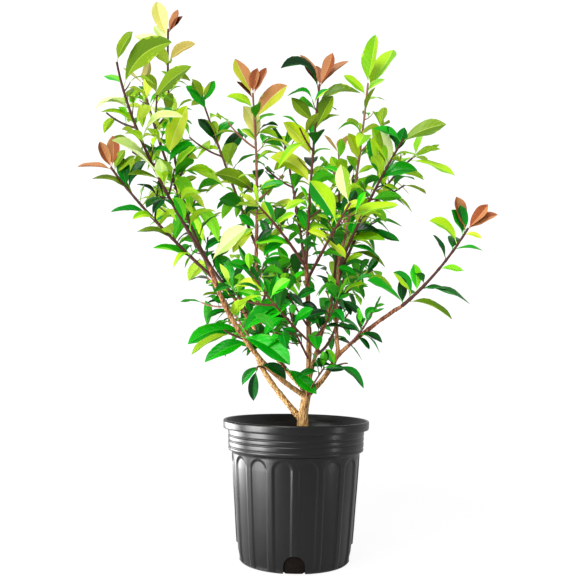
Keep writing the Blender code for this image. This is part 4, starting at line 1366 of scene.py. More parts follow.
stem_piles = {tone: Pile() for tone in STEM_TONES}
for spray in sprays:
    pile = stem_piles[stem_tone(spray.name)]
    pile.shoots.add(spray.name)
    roots = [leaf.root for leaf in spray.leaves]
    slim = LOW_STEM_SHARE if spray.path[2].z < LOW_SHOOT else 1.0
    add_stem(pile, spray.path, SHOOT_FOOT_RADIUS * slim, SHOOT_TIP_RADIUS * slim, STEM_SIDES, roots)
    for path in spray.twig_paths:
        add_stem(pile, path, TWIG_FOOT_RADIUS, TWIG_TIP_RADIUS, TWIG_SIDES, roots)
    for path in spray.fine_paths:
        add_stem(pile, path, *FINE_RADII, TWIG_SIDES, [])
for tone, pile in stem_piles.items():
    stems = pile.as_piece("stems_" + tone, [stem_finish(tone, STEM_TONES[tone][0])])
    dress(stems, pile.shoots)

# %% [markdown]
# ## Leaf colours
# A photinia's new leaves are copper red, then yellow-green, and last a deep glossy green.
# The wax of the upper side is smooth, the underside is paler and matt, and the midrib is
# paler still. Light shining through makes one half of a leaf look yellower than the other,
# and each half has its own colour, which paints that light and shade. The colour of a leaf has
# a place on the plant, so these are plain base colours, and leaves are dealt out to the tones. Veins are
# only relief.

# %% Tones of the leaves
# One half of the upper side, the other half, whose different tone paints light and shade, underside,
# midrib, roughness of the wax
LEAF_TONES = {
    "dark": ("#003208", "#005010", "#186010", "#1A6414", 0.22),
    "deep": ("#005A08", "#007A14", "#24880E", "#2C9020", 0.22),
    "mid": ("#008408", "#10A008", "#40A80C", "#40B026", 0.26),
    "fresh": ("#28B806", "#6CD00C", "#7CD016", "#88D858", 0.28),
    "bright": ("#7CC004", "#ACDA18", "#A8D820", "#B8E268", 0.30),
    "sunlit": ("#A8D81A", "#14901A", "#B0D838", "#C0E46C", 0.30),
    "yellow": ("#B2D00C", "#CCDE3C", "#C8E044", "#D4E67C", 0.32),
    "pale": ("#DCECA4", "#C4DC7C", "#E0F0A8", "#ECF4C0", 0.46),
    "split": ("#DAEA9C", "#80AC10", "#E0F0A8", "#ECF4C0", 0.40),
    "cream": ("#EAE48C", "#DCD870", "#ECE898", "#F0ECA8", 0.46),
    "olive": ("#567A04", "#74960E", "#90AC24", "#9CB83C", 0.34),
    "copper": ("#98522E", "#BA7E50", "#B07448", "#C48C62", 0.36),
    "blush": ("#BCC430", "#C88A54", "#CCC860", "#D8D084", 0.36),
    "apricot": ("#D89C44", "#C88430", "#E2B46C", "#E4B872", 0.40),
    "ochre": ("#BCAC54", "#A08C3C", "#C8BA6C", "#D4C884", 0.40),
    "bronze": ("#4E1A12", "#6C3420", "#743A20", "#7C3E2A", 0.32),
}
print("Leaves come in", len(LEAF_TONES), "tones")

# %% [markdown]
# ## A leaf's tissue
# Four finishes dress a leaf: one for each half of its upper side, one for the underside
# and one for the midrib. The blades have side veins as relief. They are sine ridges that
# start at the midrib and sweep forward, drawn along the leaf's own length and width.

# %% Finishes for the blades
VEIN_PAIRS = 7.0
VEIN_SWEEP = 1.9
VEIN_RISE = 0.12
UNDER_VEIN_RISE = 0.25
WAX_SPECULAR = 0.22
UNDER_ROUGHNESS = 0.58
RIB_ROUGHNESS = 0.5
# The roughness of a blade varies by this much below and above its middle value
SMOOTHER, ROUGHER = 0.05, 0.09
# Patches of the wax to a millimetre, so that each is about 8 mm wide
WAX_PATCHES = 0.13


def vein_height(material):
    """Ridges that sweep from the midrib to the tip side of the margin."""
    place = add_node(material, "ShaderNodeUVMap", {"uv_map": "blade"})
    split = add_node(material, "ShaderNodeSeparateXYZ", links={"Vector": place.outputs["UV"]})
    side = add_node(material, "ShaderNodeMath", {"operation": "SUBTRACT", 1: 0.5},
                    {0: split.outputs["X"]})
    away = add_node(material, "ShaderNodeMath", {"operation": "ABSOLUTE"}, {0: side.outputs[0]})
    swept = add_node(material, "ShaderNodeMath", {"operation": "MULTIPLY", 1: -2 * VEIN_SWEEP},
                     {0: away.outputs[0]})
    along = add_node(material, "ShaderNodeMath", {"operation": "MULTIPLY_ADD", 1: VEIN_PAIRS},
                     {0: split.outputs["Y"], 2: swept.outputs[0]})
    turn = add_node(material, "ShaderNodeMath", {"operation": "MULTIPLY", 1: 2 * math.pi},
                    {0: along.outputs[0]})
    return add_node(material, "ShaderNodeMath", {"operation": "SINE"}, {0: turn.outputs[0]}).outputs[0]


def blade_finish(name, colour, roughness, vein_rise):
    """Leaf tissue: one even colour, veins as relief and a gloss that varies."""
    material, shader = new_finish(name, colour, roughness, specular=WAX_SPECULAR)
    place = add_node(material, "ShaderNodeTexCoord").outputs["Object"]
    patches = add_node(material, "ShaderNodeTexNoise", {"Scale": WAX_PATCHES / MM, "Detail": 2.0},
                       {"Vector": place})
    rough = add_node(material, "ShaderNodeMapRange",
                     {"To Min": roughness - SMOOTHER, "To Max": roughness + ROUGHER},
                     {"Value": patches.outputs["Fac"]})
    bump = add_node(material, "ShaderNodeBump", {"Strength": vein_rise, "Distance": 0.0006},
                    {"Height": vein_height(material)})
    feed(material, shader, "Roughness", rough.outputs["Result"])
    feed(material, shader, "Normal", bump.outputs["Normal"])
    return material


def leaf_finishes(tone):
    # The other half's tone paints the light that shines through the blade
    upper, half_with_painted_light, under, rib, roughness = LEAF_TONES[tone]
    return [blade_finish("leaf_wax_" + tone, upper, roughness, VEIN_RISE),
            blade_finish("leaf_under_" + tone, under, UNDER_ROUGHNESS, UNDER_VEIN_RISE),
            blade_finish("leaf_rib_" + tone, rib, RIB_ROUGHNESS, 0.0),
            blade_finish("leaf_half_" + tone, half_with_painted_light, roughness, VEIN_RISE)]


print("The waxy side of a leaf has", VEIN_PAIRS, "pairs of veins")

# %% [markdown]
# ## The shape of one leaf
# A photinia leaf is a long ellipse with a wedge-shaped foot and a short drawn-out tip. It
# folds up a little along the midrib, each half bulges, and the margin waves. The mesh is
# a ring of points at each station along the leaf, upper side and underside, so that the
# blade is a thin closed body with its own outline.

# %% The net of a leaf
# Share of the blade's length, share of its half width
LEAF_OUTLINE = ((0.00, 0.05), (0.06, 0.19), (0.14, 0.42), (0.24, 0.68), (0.36, 0.89), (0.48, 0.99),
                (0.60, 1.00), (0.71, 0.92), (0.81, 0.74), (0.89, 0.49), (0.95, 0.24), (0.985, 0.08))
LEAF_COLUMNS = (-1.0, -0.72, -0.36, -0.04, 0.04, 0.36, 0.72, 1.0)
# The columns once more for the underside, from right to left and without the margins
RING_COLUMNS = LEAF_COLUMNS + LEAF_COLUMNS[-2:0:-1]
UPPER_SLOT, UNDER_SLOT, RIB_SLOT, PAINTED_LIGHT_SLOT = range(4)


def leaf_net():
    """The faces of every leaf: the blade's, a cap at its foot, and the stalk's."""
    count = len(RING_COLUMNS)
    tip = count * len(LEAF_OUTLINE)
    faces = []
    for first in range(0, tip - count, count):
        faces += band(first, first + count, count, flipped=True)
    last = tip - count
    faces += [(last + (k + 1) % count, last + k, tip) for k in range(count)]
    faces.append(tuple(range(count)))
    stalk = tip + 1
    faces += band(stalk, stalk + 4, 4) + band(stalk + 4, stalk + 8, 4)
    faces.append(tuple(stalk + k for k in (3, 2, 1, 0)))
    faces.append(tuple(stalk + 8 + k for k in range(4)))
    return faces


def ring_slots(swapped):
    """The finish of each face round the blade, with its two halves changed over or not."""
    wide = len(LEAF_COLUMNS) - 1
    ribs = (wide // 2, wide + wide // 2)
    slots = []
    for k in range(len(RING_COLUMNS)):
        if k in ribs:
            slots.append(RIB_SLOT)
        elif k >= wide:
            slots.append(UNDER_SLOT)
        else:
            # One half of the upper side takes the tone that paints light shining through the blade
            slots.append(PAINTED_LIGHT_SLOT if (k < ribs[0]) == swapped else UPPER_SLOT)
    return slots


LEAF_NET = leaf_net()
BLADE_SLOTS = {swapped: ring_slots(swapped) * len(LEAF_OUTLINE) for swapped in (False, True)}
print("A fine leaf has", len(LEAF_NET), "faces")

# %% [markdown]
# ## A leaf bends, folds and waves
# The midrib arches up and droops to its tip, and curves a little to one side. Along it the
# blade twists, its halves fold up and bulge, and its margin waves. The amounts are drawn
# for each leaf within a range, so that no two are the same, but a listed leaf may bring its
# arch. Young leaves are narrower and fold more.

# %% The fine leaf
RIB_HALF = 0.1
CUP = 0.22
# Share of the fold that lowers the midrib, so that the margins don't rise by all of it
FOLD_SINK = 0.4
# The wave along the margin: its height, its phase per length and its lag at the left
MARGIN_WAVE = 0.11
WAVE_TURN = 9
WAVE_LAG = 2.1
SICKLE = 0.06
TWIST = math.radians(22)
TWIST_PIVOT = 0.4
HEADING_STEP = 0.01
BLADE_THICKNESS = 0.35
RIB_THICKNESS = 0.8
STALK_SHARE = 0.12
STALK_RADIUS = 0.9
# Share of the leaf's length, share of the stalk's radius
STALK_RINGS = ((0.0, 1.15), (0.6 * STALK_SHARE, 0.9), (0.2, 0.4))
# Arch and fold of a leaf by its kind, each from least to most
LEAF_ARCH = {"shown": (0.04, 0.22), "row": (0.05, 0.30), "tuft": (-0.06, 0.10), "fine": (0.05, 0.34)}
LEAF_FOLD = {"shown": (0.30, 0.70), "row": (0.22, 0.62), "tuft": (0.60, 0.95), "fine": (0.22, 0.66)}
YOUNG_TONES = ("copper", "bronze", "apricot", "ochre")
YOUNG_WIDTH = 0.82
BLADE_WIDTH = 0.86


def blade_section(centre, across, upper, half, fold, along, wave_turn):
    """The ring of points of one station: upper side first, then the underside."""
    top = []
    for column in LEAF_COLUMNS:
        away = abs(column)
        lift = half * (fold * away - CUP * away * away - fold * FOLD_SINK)
        lag = 0 if column > 0 else WAVE_LAG
        lift += half * MARGIN_WAVE * away * away * math.sin(wave_turn + lag)
        top.append(centre + across * half * column + upper * lift)
    under = []
    for k in range(len(LEAF_COLUMNS) - 2, 0, -1):
        near_rib = abs(LEAF_COLUMNS[k]) < RIB_HALF
        thick = BLADE_THICKNESS + (RIB_THICKNESS * (1 - along) if near_rib else 0)
        under.append(top[k] - upper * thick)
    return top + under


def fine_leaf(leaf, tone, rng):
    """Points, faces, slots and UVs of one leaf with its stalk."""
    young = tone in YOUNG_TONES
    kind = "tuft" if young else leaf.kind
    across = leaf.way.cross(leaf.upper).normalized()
    sky = Vector((0.0, 0.0, 1.0))
    rise = sky - leaf.way * leaf.way.z
    sickle = rng.uniform(-SICKLE, SICKLE)
    arch = rng.uniform(*LEAF_ARCH[kind])
    if leaf.arch is not None:
        arch = leaf.arch
    fold = rng.uniform(*LEAF_FOLD[kind])
    twist = rng.uniform(-TWIST, TWIST)
    phase = rng.uniform(0, 2 * math.pi)
    swapped = rng.random() < 0.5
    if leaf.swapped is not None:
        swapped = leaf.swapped
    half_width = leaf.width / 2 * (YOUNG_WIDTH if young else BLADE_WIDTH)

    def centre_at(share):
        bent = across * sickle * 4 * share * (1 - share)
        bent += rise * arch * 4 * share * (1 - share) - sky * leaf.droop * share * share
        return leaf.root + (leaf.way * share + bent) * leaf.length

    points, places = [], []
    for along, width in LEAF_OUTLINE:
        share = STALK_SHARE + (1 - STALK_SHARE) * along
        ahead = (centre_at(share + HEADING_STEP) - centre_at(share - HEADING_STEP)).normalized()
        aside = (across - ahead * across.dot(ahead)).normalized()
        spun = Matrix.Rotation(twist * (along - TWIST_PIVOT), 3, ahead)
        points += blade_section(centre_at(share), spun @ aside, spun @ aside.cross(ahead),
                                half_width * width, fold, along, phase + WAVE_TURN * along)
        places += [(0.5 + column / 2, along) for column in RING_COLUMNS]
    points.append(centre_at(1.0))
    lift = across.cross(leaf.way)
    for share, radius_share in STALK_RINGS:
        spot = centre_at(share)
        radius = STALK_RADIUS * radius_share
        points += [spot + across * radius, spot + lift * radius,
                   spot - across * radius, spot - lift * radius]
    places += [(0.5, 1.0)] + [(0.5, 0.0)] * 4 * len(STALK_RINGS)
    slots = BLADE_SLOTS[swapped] + [RIB_SLOT] * (len(LEAF_NET) - len(BLADE_SLOTS[swapped]))
    return points, LEAF_NET, slots, places


print("A blade twists by up to", round(math.degrees(TWIST)), "degrees")

# %% [markdown]
# ## Dealing out the colours
# Young leaves high on the plant are yellow-green, those in the middle are clear green, and
# the old ones low down and inside are dark. Each leaf draws its tone by its height from
# a weighted hat. The listed leaves keep the tone they were given, and the tufts of
# four shoots have tones of their own.

# %% Join the leaves of each tone
TONES_BY_HEIGHT = (
    (880, {"olive": 3, "bright": 4, "yellow": 2, "fresh": 1, "mid": 2, "sunlit": 2}),
    (740, {"bright": 5, "olive": 3, "yellow": 2, "sunlit": 3, "fresh": 2, "mid": 3, "dark": 1}),
    (600, {"mid": 4, "sunlit": 3, "fresh": 3, "bright": 5, "olive": 1, "deep": 2, "yellow": 2, "dark": 2}),
    (480, {"mid": 6, "deep": 4, "dark": 3, "fresh": 3, "sunlit": 1, "bright": 2}),
    (0, {"dark": 3, "deep": 4, "mid": 4}),
)
TUFT_TONES = {"shoot_back_rise": "apricot", "shoot_left": "ochre", "shoot_rear_left": "copper",
              "shoot_rear_right": "copper"}
DEAL_SEED = 5


def tone_of(leaf, shoot, rng):
    if leaf.tone:
        return leaf.tone
    if leaf.kind == "tuft" and shoot in TUFT_TONES:
        return TUFT_TONES[shoot]
    for height, hat in TONES_BY_HEIGHT:
        if leaf.root.z >= height:
            return rng.choices(list(hat), list(hat.values()))[0]


deal = random.Random(DEAL_SEED)
leaf_piles = {tone: Pile() for tone in LEAF_TONES}
for spray in sprays:
    for leaf in spray.leaves:
        tone = tone_of(leaf, spray.name, deal)
        pile = leaf_piles[tone]
        pile.add(*fine_leaf(leaf, tone, deal))
        pile.shoots.add(spray.name)
for tone, pile in leaf_piles.items():
    if pile.faces:
        leaves = pile.as_piece("leaves_" + tone, leaf_finishes(tone))
        dress(leaves, pile.shoots)

# %% [markdown]
# ## The nursery pot
# The pot is blow-moulded black plastic, about 11 litres. From the foot up it has sixteen
# shallow flutes with round-arched tops, a stepped-out band with grooves that stiffen it,
# and a rolled lip to carry it by. All of this is one turned wall whose radius changes with
# height and angle, so a grid of points with a radius rule makes it in one go, and the
# flutes keep soft moulded edges.

# %% Profiles of the pot
WALL = 2.2
FLOOR_TOP = 3.0
# Radius at a height, from the standing ring to the foot of the band
WALL_PROFILE = ((102.8, 1.4), (104.9, 3.4), (106.2, 6.0), (106.9, 10.0), (109.5, 22.0), (111.4, 44.0),
                (113.2, 66.0), (114.7, 89.0), (118.6, 140.0), (121.2, 178.0), (122.3, 200.5))
STEP_PROFILE = ((122.5, 202.6), (123.4, 204.0), (127.6, 206.0), (128.6, 206.6), (129.1, 207.6),
                (129.3, 209.5))
# The lip bulges out, rounds over the top and comes down inside
LIP_PROFILE = ((130.6, 245.4), (131.6, 246.4), (136.6, 246.6), (138.6, 247.0), (139.4, 248.2),
               (139.6, 250.5), (139.9, 255.5), (140.0, 259.4), (139.7, 261.2), (138.8, 262.3),
               (137.4, 262.8), (135.6, 262.7), (134.6, 262.0), (134.1, 260.6))
# The inside, from the lip down to the step under the band
INSIDE_PROFILE = ((133.4, 256.0), (130.2, 250.0), (128.4, 246.0), (127.8, 235.0), (127.1, 224.0),
                  (126.5, 212.0), (125.6, 208.0), (120.6, 204.0))
# The standing ring with the underside, and the floor inside, each from the wall inwards
BASE_PROFILE = ((101.5, 0.3), (100.3, 0.0), (96.0, 0.0), (94.5, 0.8), (40.0, 0.8))
FLOOR_PROFILE = ((101.0, 4.4), (98.0, 3.0), (40.0, 3.0))
# The inside of the wall ends this far above the floor, where the floor's rings take over
FLOOR_ROUND = 3

print("The pot is", max(r for r, _ in LIP_PROFILE) * 2, "mm wide at its lip")

# %% [markdown]
# ## Flutes and grooves
# A flute is cut in by up to a fixed depth within its straight sides and its round arch,
# and a smooth step softens its edge. The grooves of the band are bell-shaped dips in the
# profile. Rows of the grid lie closer where the form turns quickly.

# %% The outside of the wall
GROOVES = (213.0, 224.3, 234.3)
GROOVE_DEPTH = 0.9
GROOVE_WIDTH = 1.5
BAND_FOOT, BAND_TOP = 207, 246
BAND_FOOT_RADIUS = 129.3
BAND_TOP_RADIUS = 130.6
BAND_ROWS = (210.5, 245.0)
GROOVE_REACH = 3.4
FINE_ROW_STEP = 0.6
BROAD_ROW_STEP = 1.8

FLUTES = 16
FLUTE_DEPTH = 2.5
FLUTE_EDGE = 4.0
# Half the width of a flute, and the wall's radius where it has this width
FLUTE_HALF = 18.8
FLUTE_HALF_RADIUS = 120.0
# The flutes fade in from this height over this many millimetres
FLUTE_FOOT = 2.0
FLUTE_FADE = 6.0
ARCH_SPRING = 181.0
# Rows of the grid lie closer from this height up, where the flutes end in arches
ARCH_ROWS_FROM = 170.0
STRAIGHT_STEP = 12.0
ARCH_STEP = 1.5
COLUMNS = 30 * FLUTES


def smooth_step(value):
    value = min(1.0, max(0.0, value))
    return value * value * (3 - 2 * value)


def flute_depth(radius, turn, height):
    """How deep a flute cuts in at an angle and height."""
    pitch = 2 * math.pi / FLUTES
    away = ((turn + math.pi / 2) / pitch) % 1.0 - 0.5
    aside = away * pitch * radius
    half = FLUTE_HALF * radius / FLUTE_HALF_RADIUS
    if height <= ARCH_SPRING:
        inside = half - abs(aside)
    else:
        inside = half - math.hypot(aside, height - ARCH_SPRING)
    fade = smooth_step((height - FLUTE_FOOT) / FLUTE_FADE)
    return FLUTE_DEPTH * smooth_step(inside / FLUTE_EDGE) * fade


def refined(profile, step):
    """More stations between those of a profile."""
    fine = []
    for (r0, z0), (r1, z1) in zip(profile, profile[1:]):
        count = max(1, round(abs(z1 - z0) / step))
        fine += [(r0 + (r1 - r0) * k / count, z0 + (z1 - z0) * k / count) for k in range(count)]
    return fine + [profile[-1]]


def band_profile():
    """The band's wall with its moulded grooves."""
    stations = []
    height, top = BAND_ROWS
    while height < top:
        rise = (height - BAND_FOOT) / (BAND_TOP - BAND_FOOT)
        radius = BAND_FOOT_RADIUS + (BAND_TOP_RADIUS - BAND_FOOT_RADIUS) * rise
        for groove in GROOVES:
            radius -= GROOVE_DEPTH * math.exp(-((height - groove) / GROOVE_WIDTH) ** 2)
        stations.append((radius, height))
        near = min(abs(height - groove) for groove in GROOVES)
        height += FINE_ROW_STEP if near < GROOVE_REACH else BROAD_ROW_STEP
    return stations


def circle(radius, count):
    """The places of a ring of points round the pot's axis."""
    turns = [2 * math.pi * k / count for k in range(count)]
    return [(radius * math.cos(turn), radius * math.sin(turn)) for turn in turns]


def wall_row(radius, height, fluted):
    """One row of the wall's points, drawn in where a flute runs."""
    turns = [2 * math.pi * k / COLUMNS for k in range(COLUMNS)]
    radii = [radius - (flute_depth(radius, turn, height) if fluted else 0.0) for turn in turns]
    return [Vector((r * math.cos(turn), r * math.sin(turn), height)) for r, turn in zip(radii, turns)]


def pot_mesh():
    """The wall as a grid, closed by the floor inside and the standing ring below."""
    straight = refined([p for p in WALL_PROFILE if p[1] < ARCH_ROWS_FROM], STRAIGHT_STEP)
    arched = refined([straight[-1], *WALL_PROFILE[-2:]], ARCH_STEP)[1:]
    inside = [(r - WALL, z) for r, z in reversed(straight + arched) if z > FLOOR_TOP + FLOOR_ROUND]
    plain = [*STEP_PROFILE, *band_profile(), *LIP_PROFILE, *INSIDE_PROFILE]
    rows = [(*row, True) for row in straight + arched]
    rows += [(*row, False) for row in plain]
    rows += [(*row, True) for row in inside]
    points, faces = [], []
    for row in rows:
        points += wall_row(*row)
    last = (len(rows) - 1) * COLUMNS
    for first in range(0, last, COLUMNS):
        faces += band(first, first + COLUMNS, COLUMNS)
    for ring, profile, below in ((0, BASE_PROFILE, True), (last, FLOOR_PROFILE, False)):
        for radius, height in profile:
            faces += band(ring, len(points), COLUMNS, flipped=below)
            ring = len(points)
            points += [Vector((x, y, height)) for x, y in circle(radius, COLUMNS)]
        middle = tuple(range(ring, ring + COLUMNS))
        faces.append(tuple(reversed(middle)) if below else middle)
    pile = Pile()
    pile.add(points, faces)
    return pile


pot_wall = pot_mesh()
print("The wall of the pot has", len(pot_wall.points), "points")

# %% [markdown]
# ## Drain holes
# Four arched holes at the foot let water out, cut through the wall and the edge of the
# floor. A round-topped cutter, repeated at quarter turns, is taken away from the wall by
# one Boolean difference, which is how a maker would punch them.

# %% Cut the drains
DRAINS = 4
DRAIN_WIDTH = 39.0
DRAIN_HEIGHT = 33.0
# The cutter starts below the pot and runs outwards through the wall
DRAIN_FOOT = -3.0
DRAIN_REACH = (92.0, 130.0)
DRAIN_ARC_STEPS = 24
POT_SHARP_ANGLE = math.radians(40)


def drain_cutter():
    """One closed arch for each drain, standing radially through the wall."""
    half = DRAIN_WIDTH / 2
    section = [(-half, DRAIN_FOOT), (half, DRAIN_FOOT)]
    for k in range(DRAIN_ARC_STEPS + 1):
        turn = math.pi * k / DRAIN_ARC_STEPS
        section.append((half * math.cos(turn), DRAIN_HEIGHT - half + half * math.sin(turn)))
    count = len(section)
    faces = [tuple(range(count)), tuple(reversed(range(count, 2 * count)))]
    faces += band(0, count, count, flipped=True)
    pile = Pile()
    for number in range(DRAINS):
        turned = Matrix.Rotation(2 * math.pi * number / DRAINS, 3, "Z")
        pile.add([turned @ Vector((aside, -reach, height))
                  for reach in DRAIN_REACH for aside, height in section], faces)
    return pile


def shape_of(pile, name):
    """A bare mesh object from a pile, its faces turned outwards, not yet a piece."""
    mesh = bpy.data.meshes.new(name)
    mesh.from_pydata([p * MM for p in pile.points], [], pile.faces)
    work = bmesh.new()
    work.from_mesh(mesh)
    bmesh.ops.recalc_face_normals(work, faces=work.faces)
    work.to_mesh(mesh)
    work.free()
    obj = bpy.data.objects.new(name, mesh)
    bpy.context.scene.collection.objects.link(obj)
    return obj


cutter = shape_of(drain_cutter(), "drain_cutter")
pot = shape_of(pot_wall, "nursery_pot")
cut = pot.modifiers.new("drains", "BOOLEAN")
cut.object = cutter
cut.solver = "EXACT"
pot.data = evaluated_mesh(pot)
pot.modifiers.clear()
bpy.data.objects.remove(cutter)
pot.data.shade_smooth()
pot.data.set_sharp_from_angle(angle=POT_SHARP_ANGLE)
print("The pot with its drains has", len(pot.data.polygons), "faces")

# %% [markdown]
# ## Black satin plastic
# The pot is recycled polyethylene: a black that is never quite black, with a satin skin.
# The mould leaves faint upright streaks and a fine pebble, so the roughness follows a
# noise stretched along the height, and a fine bump breaks up the sheen.

# %% Pot plastic
POT_IOR = 1.5
POT_SPECULAR = 0.34
# Streaks to a millimetre, so that each is about 9 mm wide, and how far they are squeezed
# along the height, so that each is about 75 mm tall
STREAKS = 0.11
STREAK_SQUEEZE = 0.12
# Grains of the pebble to a millimetre, so that each is about 1 mm wide
PEBBLES = 0.9


def pot_finish():
    """Satin skin with upright streaks in its gloss and a fine pebble."""
    material, shader = new_finish("nursery_pot_plastic", "#070708", roughness=0.30, ior=POT_IOR,
                                  specular=POT_SPECULAR)
    place = add_node(material, "ShaderNodeTexCoord").outputs["Object"]
    upright = add_node(material, "ShaderNodeMapping", {"Scale": (1.0, 1.0, STREAK_SQUEEZE)},
                       {"Vector": place})
    streaks = add_node(material, "ShaderNodeTexNoise", {"Scale": STREAKS / MM, "Detail": 4.0},
                       {"Vector": upright.outputs[0]})
    rough = add_node(material, "ShaderNodeMapRange", {"To Min": 0.24, "To Max": 0.36},
                     {"Value": streaks.outputs["Fac"]})
    pebble = add_node(material, "ShaderNodeTexNoise", {"Scale": PEBBLES / MM, "Detail": 2.0},
                      {"Vector": place})
    bump = add_node(material, "ShaderNodeBump", {"Strength": 0.25, "Distance": 0.0002},
                    {"Height": pebble.outputs["Fac"]})
    feed(material, shader, "Roughness", rough.outputs["Result"])
    feed(material, shader, "Normal", bump.outputs["Normal"])
    return material


pot.data.materials.append(pot_finish())
dress(pot, ["pot"])

# %% [markdown]
# ## Potting mix
# The pot is filled to three centimetres below its lip with composted bark, a little peat
# and white perlite, and the surface is uneven. Rings of points up the side and over the top
# make it, and two noises, a broad and a fine one, press the top down here and there.

# %% The ground
SOIL_CLEAR = 0.4
SOIL_COLUMNS = 128
SOIL_RINGS = 52
# The greatest dip of the ground, the share that dips everywhere, and two noises with the
# share of the dip that each has, its scale and its slice
SOIL_DIP = 5.0
EVEN_DIP = 0.45
BROAD_DIP, BROAD_SCALE, BROAD_SLICE = 0.5, 0.035, 3.1
FINE_DIP, FINE_SCALE, FINE_SLICE = 0.3, 0.16, 7.7
# The wall's radius and height at the step and in the band
BAND_SPACE = ((125.0, 204.0), (129.4, 208.0), (130.0, 240.0))
# No flute cuts in from this height up
FLUTE_TOP = 203.0
SOIL_ROWS = (3.6, 8.0, 22.0, 44.0, 89.0, 140.0, 178.0, 200.0)
# Rows that step out into the band: the height where their radius is taken, and their own
SOIL_STEP_ROWS = ((200.0, 203.9), (208.5, 208.6), (226.0, 226.0))
# The mix sags to the ground where the floor of the pot is cut away at a drain
SAG_FROM = 93.0
SAG_HALF = 15.0
SAG_LEVEL = 0.6


def soil_height(x, y):
    """Height of the ground at a place, never above the level it was filled to."""
    broad = noise.noise(Vector((x * BROAD_SCALE, y * BROAD_SCALE, BROAD_SLICE)))
    fine = noise.fractal(Vector((x * FINE_SCALE, y * FINE_SCALE, FINE_SLICE)), *FRACTAL)
    return SOIL_TOP - SOIL_DIP * min(1.0, max(0.0, EVEN_DIP - BROAD_DIP * broad - FINE_DIP * fine))


def inside_radius(height):
    """Radius of the space in the pot, clear of the flutes, at a height."""
    rows = WALL_PROFILE + BAND_SPACE
    for (r0, z0), (r1, z1) in zip(rows, rows[1:]):
        if z0 <= height <= z1:
            radius = r0 + (r1 - r0) * (height - z0) / (z1 - z0)
            cut_in = FLUTE_DEPTH if height < FLUTE_TOP else 0.0
            return radius - cut_in - WALL - SOIL_CLEAR


def soil_pile():
    """The mix as rows of points up its side and then inwards over its top."""
    rows = [(SAG_FROM, SOIL_ROWS[0])] + [(inside_radius(z), z) for z in SOIL_ROWS]
    rows += [(inside_radius(at), z) for at, z in SOIL_STEP_ROWS]
    points = [Vector((x, y, z)) for r, z in rows for x, y in circle(r, SOIL_COLUMNS)]
    for point in points[SOIL_COLUMNS:2 * SOIL_COLUMNS]:
        if min(abs(point.x), abs(point.y)) < SAG_HALF:
            point.z = SAG_LEVEL
    for i in range(SOIL_RINGS):
        ring = circle(rows[-1][0] * (1 - i / SOIL_RINGS), SOIL_COLUMNS)
        points += [Vector((x, y, soil_height(x, y))) for x, y in ring]
    last = len(points) - SOIL_COLUMNS
    faces = [tuple(reversed(range(SOIL_COLUMNS)))]
    for first in range(0, last, SOIL_COLUMNS):
        faces += band(first, first + SOIL_COLUMNS, SOIL_COLUMNS)
    faces.append(tuple(range(last, last + SOIL_COLUMNS)))
    pile = Pile()
    pile.add(points, faces)
    return pile


ground = soil_pile()
print("The side and top of the ground have", len(ground.points), "points")

# %% [markdown]
# ## Chips and perlite
# Chips of bark lie nearly flat on the ground, and white grains of perlite are rounder. Each
# is a block whose corners are knocked about, and all are strewn evenly over the ground,
# but not at the trunk or the wall.

# %% Strew the chips
BARK_CHIPS = 420
PERLITE_GRAINS = 150
BARK_SIZES = (5.0, 17.0)
PERLITE_SIZES = (1.8, 4.2)
BARK_FLATNESS = (0.25, 0.5)
PERLITE_FLATNESS = (0.7, 1.0)
CHIP_WIDTH = (0.4, 0.8)
CHIP_CORNER = (0.6, 1.0)
CHIP_TILT = 0.5
CHIP_LIFT = 0.1
# Chips keep this far from the wall, as it is at this height, and from the trunk's middle
FROM_WALL = 12
WALL_LEVEL = 230
FROM_TRUNK = 30
STREW_SEED = 21
CHIP_FACES = ((0, 2, 3, 1), (4, 5, 7, 6), (0, 1, 5, 4), (2, 6, 7, 3), (0, 4, 6, 2), (1, 3, 7, 5))
CHIP_SLOT, PERLITE_SLOT = 1, 2
SOIL_SHARP_ANGLE = 35
# Crumbs of peat and bark trap light and hardly shine
SOIL_SPECULAR = 0.12


def chip(place, sizes, turned, rng):
    """The corners of one rough block, knocked about."""
    points = []
    for k in range(8):
        sides = (k & 1, k >> 1 & 1, k >> 2 & 1)
        corner = Vector((2 * side - 1) * size for side, size in zip(sides, sizes))
        points.append(turned @ Vector(value / 2 * rng.uniform(*CHIP_CORNER) for value in corner) + place)
    return points


def strewn(pile, count, sizes, flatness, rng, slot):
    """Strew chips over the ground, away from the trunk and the wall."""
    for _ in range(count):
        reach = (inside_radius(WALL_LEVEL) - FROM_WALL) * math.sqrt(rng.random())
        turn = rng.uniform(0, 2 * math.pi)
        x, y = reach * math.cos(turn), reach * math.sin(turn)
        if math.hypot(x - TRUNK_PATH[0][0], y - TRUNK_PATH[0][1]) < FROM_TRUNK:
            continue
        length = rng.uniform(*sizes)
        flat = rng.uniform(*flatness)
        turned = Matrix.Rotation(rng.uniform(0, math.pi), 3, "Z")
        turned = turned @ Matrix.Rotation(rng.uniform(-CHIP_TILT, CHIP_TILT), 3, "X")
        place = Vector((x, y, soil_height(x, y) + length * flat * CHIP_LIFT))
        block = (length, length * rng.uniform(*CHIP_WIDTH), length * flat)
        pile.add(chip(place, block, turned, rng), CHIP_FACES, [slot] * len(CHIP_FACES))


def soil_finish(name, low_colour, high_colour, grain_mm):
    material, shader = new_finish(name, high_colour, roughness=0.92, specular=SOIL_SPECULAR)
    place = add_node(material, "ShaderNodeTexCoord").outputs["Object"]
    grain = add_node(material, "ShaderNodeTexNoise",
                     {"Scale": 1 / (grain_mm * MM), "Detail": 4.0, "Roughness": 0.65},
                     {"Vector": place}).outputs["Fac"]
    colour = add_node(material, "ShaderNodeValToRGB", links={"Fac": grain},
                      stops=((0.35, low_colour), (0.68, high_colour)))
    bump = add_node(material, "ShaderNodeBump", {"Strength": 0.7, "Distance": 0.001}, {"Height": grain})
    feed(material, shader, "Base Color", colour.outputs["Color"])
    feed(material, shader, "Normal", bump.outputs["Normal"])
    return material


